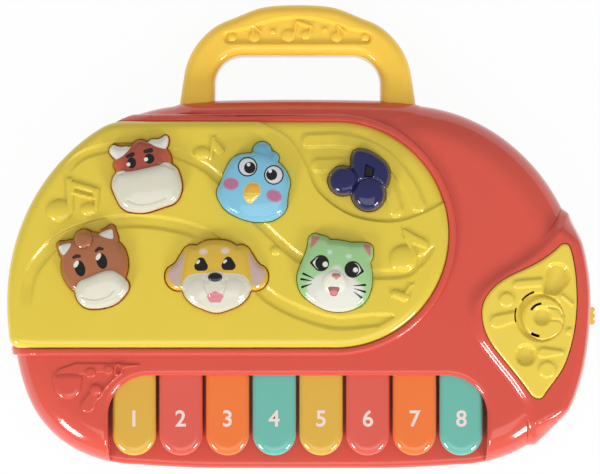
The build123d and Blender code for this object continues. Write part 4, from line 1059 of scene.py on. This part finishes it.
def both(*points):
    """Smooth outline alike on both sides of its middle, from its lowest place to its highest."""
    return smooth(*points, *[(-x, y) for x, y in reversed(points[1:-1])])


def stroke(colour, *stops):
    """Printed stroke through places given as x, y and half width."""
    return [(hull(a, b), colour) for a, b in zip(stops, stops[1:])]


cow_muzzle = smooth((8.0, 4.9), (4.0, 3.3), (-6.6, 1.0), (-9.8, 1.4), (-12.8, 0.5), (-14.9, -3.6),
                    (-13.4, -9.6), (-10.0, -14.8), (-3.4, -16.5), (6.0, -14.4), (12.9, -11.1), (14.8, -6.2),
                    (14.3, -1.6), (12.0, 3.2))
horse_muzzle = smooth((-7.5, -11.0), (-5.6, -5.8), (-1.6, -3.8), (6.4, -0.9), (11.0, -2.4), (15.2, -7.4),
                      (12.6, -12.6), (2.6, -17.2), (-4.6, -16.0))
dog_muzzle = both((0, -15.2), (5.8, -13.7), (10.6, -11.3), (13.9, -7.2), (14.2, -2.8), (11.6, 0.4),
                  (8.2, 1.4), (4.0, 1.6), (0, 2.7))
dog_head = both((0, -12.0), (9.0, -10.5), (13.9, -4.5), (13.2, 4.0), (11.6, 10.6), (7.0, 14.6), (0, 15.9))
dog_ear = smooth((-13.6, 10.6), (-15.6, 7.5), (-19.5, 3.2), (-20.2, 0), (-18.6, -2.7), (-15.2, -3.6),
                 (-14.6, 0), (-13.8, 6.0))
bird_body = smooth((-2.2, 12.5), (-8.0, 10.9), (-11.6, 5.6), (-13.2, 1.4), (-15.2, -4.0), (-13.0, -9.6),
                   (-5.5, -14.7), (2.6, -16.4), (9.8, -15.0), (13.5, -11.8), (14.7, -5.0), (15.5, 1.0),
                   (12.6, 6.9), (6.4, 11.0))
beak = smooth((-3.9, -3.6), (-2.2, -0.6), (0, 0.2), (2.6, -0.6), (3.3, -3.0), (2.9, -5.0), (1.0, -7.2),
              (-0.8, -8.6), (-2.8, -7.6), (-3.4, -5.2))
beak_tip = smooth((-3.4, -4.6), (3.2, -4.2), (2.9, -5.0), (1.0, -7.2), (-0.8, -8.6), (-2.8, -7.6))
note_flag = smooth((-5.2, 5.0), (-5.0, 9.8), (-3.6, 11.6), (-0.6, 11.8), (5.0, 9.3), (9.3, 5.3),
                   (10.2, 2.4), (8.0, -5.2), (1.6, -6.6), (-4.6, -2.4))
note_recess = [(0.4, 5.6), (3.8, 3.8), (3.0, 0.4), (-0.3, 0.6)]
cat_face = hull((0.8, 2.4, 1.2), (-8.5, -5.0, 3.2), (-5.4, -11.4, 6.0), (3.2, -12.4, 5.8), (8.5, -7.0, 3.5))
COW_EAR_LIGHT, COW_BROW, HORSE_BROW, HORSE_WHITE = (190, 85, 60), (40, 18, 16), (48, 30, 25), (214, 216, 204)
BIRD_EYE, BIRD_CHEEK, DOG_EAR, DOG_BROW = (208, 210, 214), (178, 108, 138), (194, 166, 158), (222, 198, 188)
CAT_EAR, CAT_BROW = (196, 122, 116), (196, 216, 200)
whiskers = [((-13.2, 0.2), (-8.8, -1.8)), ((-14.0, -2.1), (-9.8, -2.8)), ((-13.7, -5.4), (-9.8, -4.0)),
            ((12.5, -4.5), (7.8, -4.8)), ((12.5, -7.4), (8.0, -6.0)), ((11.0, -9.8), (7.8, -7.3))]

# Each button has its place and colour, then the forms that stand up from its dome as outline, height and
# softness, the creases as points, half width and depth, and the prints, with some painted light and shade
# among them, in the order they go on, as outline, colour and, where their edge isn't sharp, its softness.
looks = {
    "cow": dict(
        place=(-63.0, 25.9), slot="cow_brown", colour=(164, 74, 56),
        forms=[(cow_muzzle, 1.4, 4.2)],
        creases=[([(-13.2, -2.5), (-12.0, -0.5), (-9.5, 0.2)], 0.4, 0.5),
                 ([(5.0, 4.0), (8.0, 3.6), (11.5, 2.2), (12.8, 0.5)], 0.4, 0.5),
                 ([(-7.6, -10.8), (-3.5, -12.4), (2.0, -12.0), (8.0, -9.8)], 0.5, 0.35)],
        # painted light: lighter, more orange ovals on the ears, where they look lit
        prints_and_painted_light=[(oval(-12.4, 3.6, 2.6, 3.6), COW_EAR_LIGHT, 2.0),
                (oval(8.6, 7.6, 2.2, 3.8), COW_EAR_LIGHT, 2.0),
                (smooth((-14.9, 12.6), (-16.6, 9.8), (-14.7, 6.7), (-12.2, 6.2), (-9.0, 8.2),
                        (-6.9, 11.8)), WHITE),
                (smooth((8.6, 17.6), (5.6, 15.9), (0.4, 13.8), (2.4, 12.2), (5.4, 10.9), (8.4, 10.7),
                        (10.0, 13.4)), WHITE),
                (cow_muzzle, CREAM)]
        + stroke(COW_BROW, (-7.9, 7.2, 0.75), (-5.7, 8.1, 0.95))
        + stroke(COW_BROW, (-0.4, 9.3, 0.8), (1.9, 9.8, 1.0))
        + [(oval(-6.1, 4.5, 1.9, 2.3), BLACK), (disc(-7.4, 3.9, 0.8), WHITE),
           (disc(1.3, 6.3, 2.1), BLACK), (disc(-0.1, 6.0, 0.85), WHITE)]),
    "bird": dict(
        place=(-18.7, 22.1), slot="bird_blue", colour=(108, 176, 202),
        forms=[(bird_body, 0.9, 3.4), (beak, 1.3, 2.0), (beak_tip, 1.55, 1.6)],
        # painted shade: the body is printed lighter than the base colour, which leaves the crest darker
        prints_and_painted_light=[(bird_body, (122, 188, 214)),
                (disc(-2.1, 6.7, 4.1), BLACK), (disc(-2.1, 6.7, 3.55), BIRD_EYE),
                (disc(8.8, 3.3, 4.1), BLACK), (disc(8.8, 3.3, 3.55), BIRD_EYE),
                (disc(-1.2, 6.3, 2.4), BLACK), (disc(7.9, 3.4, 2.3), BLACK),
                (disc(-1.7, 7.6, 0.75), WHITE), (disc(7.3, 4.9, 0.75), WHITE),
                (oval(-9.0, -0.4, 3.2, 2.5), BIRD_CHEEK, 1.0),
                (oval(8.9, -5.4, 3.3, 2.5, -20), BIRD_CHEEK, 1.0),
                (beak, (222, 168, 62)), (beak_tip, (235, 202, 92))]),
    "note": dict(
        place=(28.1, 24.2), slot="note_blue", colour=(30, 32, 86),
        forms=[(disc(1.6, -6.7, 6.9), 1.45, 5.5), (disc(-9.2, -1.1, 6.0), 1.4, 5.0), (note_flag, 0.7, 1.6)],
        creases=[(disc(1.6, -6.7, 6.7), 0.4, 0.7), (disc(-9.2, -1.1, 5.9), 0.4, 0.7)],
        # painted shade: the flag's hollow is printed near black, for the shade in its depth
        hollow=(note_recess, 1.5), prints_and_painted_light=[(note_recess, (12, 12, 26))]),
    "horse": dict(
        place=(-85.5, -13.4), slot="horse_brown", colour=(166, 102, 65),
        forms=[(horse_muzzle, 1.4, 4.2), (disc(-3.8, 12.1, 4.0), 1.5, 2.4)],
        creases=[([(-4.5, -11.9), (1.0, -12.9), (6.0, -11.5), (8.6, -9.2)], 0.5, 0.35)],
        prints_and_painted_light=[(disc(-3.8, 12.1, 4.1), (134, 72, 48)), (disc(-3.8, 12.3, 3.7), (172, 106, 70), 0.6),
                (smooth((-14.2, 8.9), (-9.0, 10.2), (-12.0, 5.5)), HORSE_WHITE),
                (smooth((2.8, 14.0), (7.5, 16.2), (8.5, 14.3), (8.1, 12.2)), HORSE_WHITE),
                (horse_muzzle, CREAM), (disc(9.2, -10.6, 7.0), CREAM)]
        + stroke(HORSE_BROW, (-7.8, 4.4, 0.6), (-6.6, 5.0, 0.8), (-5.2, 5.0, 0.6))
        + stroke(HORSE_BROW, (1.6, 7.2, 0.6), (2.8, 8.2, 0.8), (4.2, 8.0, 0.6))
        + [(oval(-5.1, -0.1, 3.4, 2.2, 105), BLACK), (oval(4.0, 3.0, 3.4, 2.2, 105), BLACK),
           (oval(-6.7, 1.7, 1.6, 0.9, 60), WHITE), (oval(2.6, 4.8, 1.6, 0.9, 60), WHITE)]),
    "dog": dict(
        place=(-33.9, -17.1), slot="dog_yellow", colour=(217, 178, 58),
        forms=[(dog_head, 0.5, 1.8), (dog_muzzle, 0.8, 2.4), (oval(-7.6, -5.0, 5.9, 5.4), 1.35, 4.5),
               (oval(7.2, -5.0, 5.9, 5.4), 1.35, 4.5), (oval(-0.4, -4.4, 4.6, 4.9), 1.3, 2.4),
               (oval(-0.4, 0, 3.0, 1.9), 1.5, 0.8)],
        creases=[([(-4.2, 0.8), (-4.9, -1.6), (-4.5, -4.2), (-3.4, -6.6)], 0.3, 0.35),
                 ([(3.4, 0.8), (4.1, -1.6), (3.7, -4.2), (2.6, -6.6)], 0.3, 0.35)],
        prints_and_painted_light=[(dog_ear, DOG_EAR, 1.0), (dog_ear * (-1, 1), DOG_EAR, 1.0), (dog_muzzle, CREAM),
                (hull((-6.3, 6.4, 1.8), (-7.3, 4.4, 1.8), (-5.2, 4.4, 1.8)), BLACK),
                (hull((5.0, 6.7, 1.8), (4.0, 4.7, 1.8), (6.3, 4.7, 1.8)), BLACK),
                (oval(-7.5, 6.3, 1.0, 0.6, 55), WHITE), (oval(3.7, 6.5, 1.0, 0.55, 45), WHITE),
                (oval(-5.3, 10.6, 1.7, 1.2), DOG_BROW, 0.8), (oval(3.7, 10.9, 1.7, 1.2), DOG_BROW, 0.8),
                (oval(-0.4, 0, 3.0, 1.9), BLACK),
                (hull((-0.4, -6.4, 0.6), (-3.2, -8.0, 0.7), (2.4, -8.0, 0.7), (-2.0, -9.6, 1.0),
                      (1.2, -9.6, 1.0)), (206, 118, 132))]),
    "cat": dict(
        place=(15.6, -15.9), slot="cat_green", colour=(156, 200, 140),
        forms=[(disc(-0.2, -3.4, 4.9), 1.2, 2.6), (oval(0.5, -0.9, 1.7, 1.3), 1.6, 1.0)],
        prints_and_painted_light=[(smooth((-10.2, 11.0), (-9.8, 15.4), (-8.8, 15.8), (-6.4, 15.0)), CAT_EAR, 0.8),
                (smooth((11.8, 12.1), (14.9, 12.1), (14.9, 10.4), (14.5, 7.6)), CAT_EAR, 0.8),
                (cat_face, (216, 216, 204), 2.2), (disc(-0.2, -3.4, 4.9), (232, 229, 212), 1.0),
                (disc(-2.2, 9.2, 1.0), CAT_BROW, 0.8), (oval(5.7, 7.5, 1.2, 0.9), CAT_BROW, 0.8),
                (hull((-5.9, 4.6, 3.4), (-10.0, 4.8, 0.5)), BLACK),
                (hull((-6.1, 4.6, 2.65), (-8.9, 4.8, 0.4)), WHITE),
                (disc(-5.4, 4.6, 2.9), BLACK), (disc(-4.1, 4.1, 1.15), WHITE),
                (hull((7.4, 2.0, 3.5), (11.4, 1.2, 0.6)), BLACK),
                (hull((7.6, 2.0, 2.75), (10.3, 1.5, 0.5)), WHITE),
                (disc(7.0, 1.9, 2.95), BLACK), (disc(8.5, 1.8, 1.05), WHITE),
                (hull((-0.6, -0.4, 0.9), (1.4, -0.5, 0.9), (0.5, -1.6, 0.6)), (192, 132, 122)),
                (hull((-2.2, -5.8, 0.7), (1.2, -6.0, 0.7), (-0.5, -7.5, 1.7)), (146, 74, 78)),
                (hull((-1.4, -7.4, 0.7), (0.4, -7.5, 0.7), (-0.5, -7.9, 1.0)), (206, 120, 122))]
        + [mark for root, tip in whiskers for mark in stroke(BLACK, (*root, 0.5), (*tip, 0.12))]),
}


def button_height(xy, line, forms, creases, hollow):
    """Height of a cap: a shallow dome with a rounded edge and its forms, creases and hollow."""
    squared = ((xy - line.points.mean(0)) ** 2).sum(1)
    z = BUTTON_TOP - squared / (2 * BUTTON_DOME) + round_over(line.inside(xy), BUTTON_EDGE)
    z += np.max([form.swell(xy) for form in forms], axis=0)
    for crease in creases:
        z -= crease.high * ramp(crease.inside(xy), CREASE_SOFT)
    if hollow:
        z -= hollow.high * ramp(hollow.inside(xy), HOLLOW_SOFT)
    return np.maximum(z, BUTTON_LOW + LEAST_WALL)


painted = plastic("printed_and_shaded_button", None)
# painted shade: the edges of the warm coloured caps are darkened towards red, for the shadowed gap round them
# and the casing's red reflected in it
gap_shaded_caps, GAP_SHADE_WIDTH, GAP_SHADE_RED = ["cow", "horse", "dog"], 0.3, (176, 62, 22)
for name in button_names:
    look, line = looks[name], button_lines[name]
    place = np.array(look["place"])
    forms = [Form(outline + place, high=high, soft=soft) for outline, high, soft in look["forms"]]
    creases = [Form(curve_through(points) + place, half, deep)
               for points, half, deep in look.get("creases", [])]
    hollow = Form(np.array(look["hollow"][0]) + place, high=look["hollow"][1]) if "hollow" in look else None
    prints_and_painted_light = [(Line(np.array(outline) + place, step=0.3), colour, (soft or [0])[0])
              for outline, colour, *soft in look["prints_and_painted_light"]]
    plan = Plan()
    plan.rings(line, 0.0, *round_steps(BUTTON_EDGE))
    for outline, _, soft in prints_and_painted_light:
        plan.rings(outline, *((-soft / 2, 0, soft / 2) if soft else (0.0,)))
    for form in forms:
        form.rings(plan, 0, 0.06 * form.soft, 0.2 * form.soft, 0.5 * form.soft)
    for crease in creases:
        crease.rings(plan, -0.4, 0.2)
    if hollow:
        hollow.rings(plan, -0.35, 0.35)
    plan.fill(line.points.min(0), line.points.max(0), 0.5)
    xy, faces = plan.cut(within(line))
    z = button_height(xy, line, forms, creases, hollow)
    mesh = block_mesh(f"cap_{name}", xy, faces, z, BUTTON_LOW, within(line))
    # a soft print or painted light mixes in at each corner of the top's faces, and a sharp one covers whole
    # faces
    corners, spots = xy[faces].reshape(-1, 2), xy[faces].mean(1)
    tone = np.tile(linear(look["colour"]), (len(mesh.loops), 1))
    for outline, colour, soft in prints_and_painted_light:
        share = ramp(outline.near(corners), soft) if soft else np.repeat(outline.near(spots) > 0, 3)
        tone[:len(corners)] += share[:, None] * (linear(colour) - tone[:len(corners)])
    # painted shade along the cap's edge, for the dark gap round it
    if name in gap_shaded_caps:
        share = ramp(GAP_SHADE_WIDTH - line.near(corners), GAP_SHADE_WIDTH)
        tone[:len(corners)] += share[:, None] * (linear(GAP_SHADE_RED) - tone[:len(corners)])
    paint = mesh.attributes.new("paint", "FLOAT_COLOR", "CORNER")
    paint.data.foreach_set("color", tone.astype(np.float32).ravel())
    piece(f"cap_{name}", mesh, painted, f"button_{name}", look["slot"], [f"button_{name}"])

# ---------------------------------------------------------------- lower casing, door and switch
# The red lower shell with its feet, the door over the cells, held by two screws, and the yellow nub of the
# switch. They are merged, smooth copies of the frame's solids in the same glossy plastic.


MERGED_ANGLE = 30           # between faces of a copy that meet in a sharp edge


def merged(name, node):
    """Smooth-shaded copy of a frame node's mesh, with its loose triangles joined."""
    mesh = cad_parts[node].data.copy()
    holder = added("holder", mesh)
    weld = holder.modifiers.new("weld", "WELD")
    weld.merge_threshold = 1e-6
    joined = plain_mesh(name, holder)
    joined.shade_smooth()
    joined.set_sharp_from_angle(angle=math.radians(MERGED_ANGLE))
    return joined


def plain_mesh(name, holder):
    """Mesh that an object's modifiers make; the object itself goes."""
    bpy.context.view_layer.update()
    mesh = bpy.data.meshes.new_from_object(holder.evaluated_get(bpy.context.evaluated_depsgraph_get()))
    bpy.data.objects.remove(holder)
    mesh.name = name
    return mesh


def evened(mesh):
    """The mesh with normals that follow its large flat faces, so that those shade flat up to their edges."""
    holder = added("holder", mesh)
    even = holder.modifiers.new("even", "WEIGHTED_NORMAL")
    even.keep_sharp, even.weight = True, 100
    return plain_mesh(mesh.name, holder)


# The upper shell keeps a closer outline than the frame's solids, so the copied lower shell is drawn in to
# it: its back edge to the collar's arch, and the rest by what it stands out, fading to none at a depth of
# SQUEEZE.
SQUEEZE, SLACK, SECTION_Z = 5.0, 0.12, 12.0
COLLAR_HALF, ARCH_STEP, ARCH_FROM, ARCH_LEAST, SIDES_TO = 52.2, 3, 50, 52.0, 45
made_line = Line(section("bottom_housing", SECTION_Z))
base = merged("casing_base", "bottom_housing")
cuts = bmesh.new()
cuts.from_mesh(base)
for x in np.arange(-COLLAR_HALF + ARCH_STEP, COLLAR_HALF, ARCH_STEP):
    bmesh.ops.bisect_plane(cuts, geom=cuts.verts[:] + cuts.edges[:] + cuts.faces[:], dist=1e-7,
                           plane_co=middle + Vector((x, 0, 0)) * MM, plane_no=(1, 0, 0))
arch = collar_line.points[collar_line.points[:, 1] > ARCH_FROM]
arch = arch[np.argsort(arch[:, 0])]
for vertex in cuts.verts:
    x, y = (vertex.co.x - middle.x) / MM, (vertex.co.y - middle.y) / MM
    if y > ARCH_FROM and abs(x) < COLLAR_HALF + 0.1:
        arch_y = max(float(np.interp(x, arch[:, 0], arch[:, 1])), ARCH_LEAST)
        vertex.co.y = middle.y + min(y, arch_y) * MM
    elif y < SIDES_TO:
        spot = np.array([[x, y]])
        depth = max(made_line.inside(spot)[0], 0.0)
        excess = depth - case_line.inside(spot)[0] - SLACK
        if depth < SQUEEZE and excess > 0:
            nearest = int(np.argmin(np.hypot(*(case_line.points - spot).T)))
            along = case_line.points[(nearest + 2) % len(case_line.points)] - case_line.points[nearest - 2]
            along *= excess * (1 - depth / SQUEEZE) / np.linalg.norm(along)
            vertex.co.x, vertex.co.y = vertex.co.x - along[1] * MM, vertex.co.y + along[0] * MM
cuts.to_mesh(base)
cuts.free()
piece("casing_base", evened(base), casing_red, "casing", "casing_red", ["bottom_housing"])
for name, node, *dress in (("door_plate", "battery_door", casing_red, "door", "casing_red"),
                           ("slide_nub", "switch_knob", handle_yellow, "switch", "handle_yellow")):
    piece(name, evened(merged(name, node)), *dress, [node])

# ---------------------------------------------------------------- screws
# Zinc-plated pan-head screws with a cross recess: eight in wells of the lower casing, which draw the two
# casings together, and the door's two. One tree makes the screw and sets a copy on each place.


def screw_tree(finish):
    """Geometry tree that sets a screw on each vertex, pointing up, with its seat at the vertex."""
    group = bpy.data.node_groups.new("cross_head_screw", "GeometryNodeTree")
    group.interface.new_socket("Geometry", in_out="INPUT", socket_type="NodeSocketGeometry")
    for name in ("Head Radius", "Head Height", "Shank Radius", "Shank Length",
                 "Recess Width", "Recess Depth"):
        group.interface.new_socket(name, in_out="INPUT", socket_type="NodeSocketFloat")
    group.interface.new_socket("Geometry", in_out="OUTPUT", socket_type="NodeSocketGeometry")
    tree = Tree(group)
    given = {socket.name: Value(tree, socket) for socket in group.nodes.new("NodeGroupInput").outputs}
    radius, tall, deep = given["Head Radius"], given["Head Height"], given["Recess Depth"]

    def vector(x, y, z):
        return tree.node("ShaderNodeCombineXYZ", None, {0: x, 1: y, 2: z})

    def lifted(geometry, height):
        moved = vector(0.0, 0.0, height)
        return tree.node("GeometryNodeTransform", None, {"Geometry": geometry, "Translation": moved})

    def box(x, y, z, height):
        return lifted(tree.node("GeometryNodeMeshCube", None, {"Size": vector(x, y, z)}), height)

    # the head lies below its seat at z = 0, a flattened ball cut off flat at the seat
    round_head = tree.node("GeometryNodeMeshUVSphere", None, {"Segments": 32, "Rings": 24, "Radius": 1.0})
    round_head = tree.node("GeometryNodeTransform", None,
                           {"Geometry": round_head, "Scale": vector(radius, radius, tall)})
    large = radius * 4.0
    head = tree.node("GeometryNodeMeshBoolean", {"operation": "INTERSECT", "solver": "EXACT"},
                     {"Mesh": [round_head, box(large, large, large, large * -0.5)]})
    arm = radius * 1.15
    arms = [box(*size, deep * 2.0, tall * -1.0)
            for size in ((arm, given["Recess Width"]), (given["Recess Width"], arm))]
    crossed = tree.node("GeometryNodeMeshBoolean", {"operation": "DIFFERENCE", "solver": "EXACT"},
                        {"Mesh 1": head, "Mesh 2": arms})
    shank = tree.node("GeometryNodeMeshCylinder", None, {
        "Vertices": 20, "Radius": given["Shank Radius"], "Depth": given["Shank Length"]})
    shank = lifted(shank, given["Shank Length"] * 0.5)
    whole = tree.node("GeometryNodeJoinGeometry", None, {0: [shank, crossed]})
    spots = tree.node("GeometryNodeMeshToPoints", None, {"Mesh": given["Geometry"]})
    set_out = tree.node("GeometryNodeInstanceOnPoints", None, {"Points": spots, "Instance": whole})
    real = tree.node("GeometryNodeRealizeInstances", None, {"Geometry": set_out})
    dressed = tree.node("GeometryNodeSetMaterial", None, {"Geometry": real, "Material": finish})
    tree.node("NodeGroupOutput", None, {0: dressed})
    return group


def metal(name, colour, roughness):
    """Bright metal: fine turning marks in its roughness and a little tarnish in its colour."""
    shade = Shade(name)
    place = shade.node("ShaderNodeTexCoord", out="Object")
    tarnish = shade.node("ShaderNodeTexNoise", None, {"Vector": place, "Scale": 220.0, "Detail": 4.0})
    marks = shade.node("ShaderNodeTexNoise", None, {"Vector": place, "Scale": 2400.0, "Detail": 2.0})
    tone = shade.node("ShaderNodeMix", {"data_type": "RGBA"},
                      {0: tarnish, 6: linear([0.82 * c for c in colour]), 7: linear(colour)}, out=2)
    bump = shade.node("ShaderNodeBump", None, {"Height": marks, "Strength": 0.06, "Distance": 0.001})
    body = shade.node("ShaderNodeBsdfPrincipled", None, {
        "Base Color": tone, "Metallic": 1.0, "Roughness": roughness + 0.2 * marks, "Normal": bump})
    shade.node("ShaderNodeOutputMaterial", None, {"Surface": body})
    return shade.material


zinc = metal("zinc", (196, 194, 188), 0.22)
screw_sizes = {"Head Radius": 2.7, "Head Height": 1.8, "Shank Radius": 1.05, "Recess Width": 0.8,
               "Recess Depth": 1.1}
CASING_SEAT, CASING_SHANK, DOOR_SEAT, DOOR_SHANK, EAR_INSET = 8.2, 11.0, 2.4, 7.0, 4.5
cross_screw = screw_tree(zinc)


def screws(name, node, body, places, seat, length):
    """Screws pointing up from seats at the given places, in one mesh."""
    spots = bpy.data.meshes.new(name)
    spots.from_pydata([middle + Vector((x, y, seat)) * MM for x, y in places], [], [])
    holder = added(name, spots)
    maker = holder.modifiers.new("screws", "NODES")
    maker.node_group = cross_screw
    for item in cross_screw.interface.items_tree:
        if item.in_out == "INPUT" and item.name != "Geometry":
            maker[item.identifier] = dict(screw_sizes, **{"Shank Length": length})[item.name] * MM
    piece(name, plain_mesh(name, holder), zinc, body, "steel", [node])


door_low, door_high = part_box("battery_door")
door_middle = (door_low + door_high) / 2 - middle
ear = (door_high.x - door_low.x) / 2 / MM - EAR_INSET
wells = [(109.5, -1.0), (104.0, -72.0), (70.0, 38.0), (40.0, -88.0)]
screws("casing_screws", "housing_screws", "casing", [(side * x, y) for x, y in wells for side in (-1, 1)],
       CASING_SEAT, CASING_SHANK)
screws("door_captives", "door_screws", "door", [(side * ear, door_middle.y / MM) for side in (-1, 1)],
       DOOR_SEAT, DOOR_SHANK)

# ---------------------------------------------------------------- inside
# What the casings hold: the key rod, boards with their parts, rubber domes, speaker, switch, cells and
# contacts. The frame's solids stay, in finishes of their own.


def finish_node(node, material):
    """Gives a frame node's solid its finish."""
    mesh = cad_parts[node].data
    mesh.materials.clear()
    mesh.materials.append(material)


def board_lacquer():
    """Green solder lacquer with paler copper runs under it."""
    shade = Shade("board_lacquer")
    place = shade.node("ShaderNodeTexCoord", out="Object")
    runs = shade.node("ShaderNodeTexWave", {"bands_direction": "DIAGONAL"},
                      {"Vector": place, "Scale": 90.0, "Distortion": 3.0, "Detail": 1.0}, out=1)
    stops = [(0.55, linear((24, 92, 52))), (0.6, linear((52, 128, 76)))]
    copper = shade.node("ShaderNodeValToRGB", {"stops": stops}, {0: runs})
    body = shade.node("ShaderNodeBsdfPrincipled", None,
                      {"Base Color": copper, "Roughness": 0.3, "Coat Weight": 0.4})
    shade.node("ShaderNodeOutputMaterial", None, {"Surface": body})
    return shade.material


lacquer, brass = board_lacquer(), metal("brass", (206, 178, 108), 0.28)
rubber = plastic("dome_rubber", (158, 158, 154), roughness=0.6, mottle=0.06, grain=0.05, coat=0.0)
epoxy = plastic("black_epoxy", (26, 26, 28), roughness=0.45, mottle=0.08, grain=0.05, coat=0.0)
paper = plastic("cone_paper", (38, 36, 34), roughness=0.8, mottle=0.2, grain=0.25, coat=0.0)
jacket = plastic("cell_jacket", (54, 60, 74), roughness=0.3, mottle=0.05, coat=0.3)
finishes = [(zinc, "key_pivot_rod board_screws speaker_screws speaker_magnet"),
            (brass, "battery_contacts"), (lacquer, "key_board main_board"),
            (rubber, "key_dome_strip button_domes"), (paper, "speaker_cone"),
            (epoxy, "sound_chip board_capacitor speaker_frame slide_switch switch_lever"),
            (jacket, "battery_cells")]
for material, nodes in finishes:
    for node in nodes.split():
        finish_node(node, material)
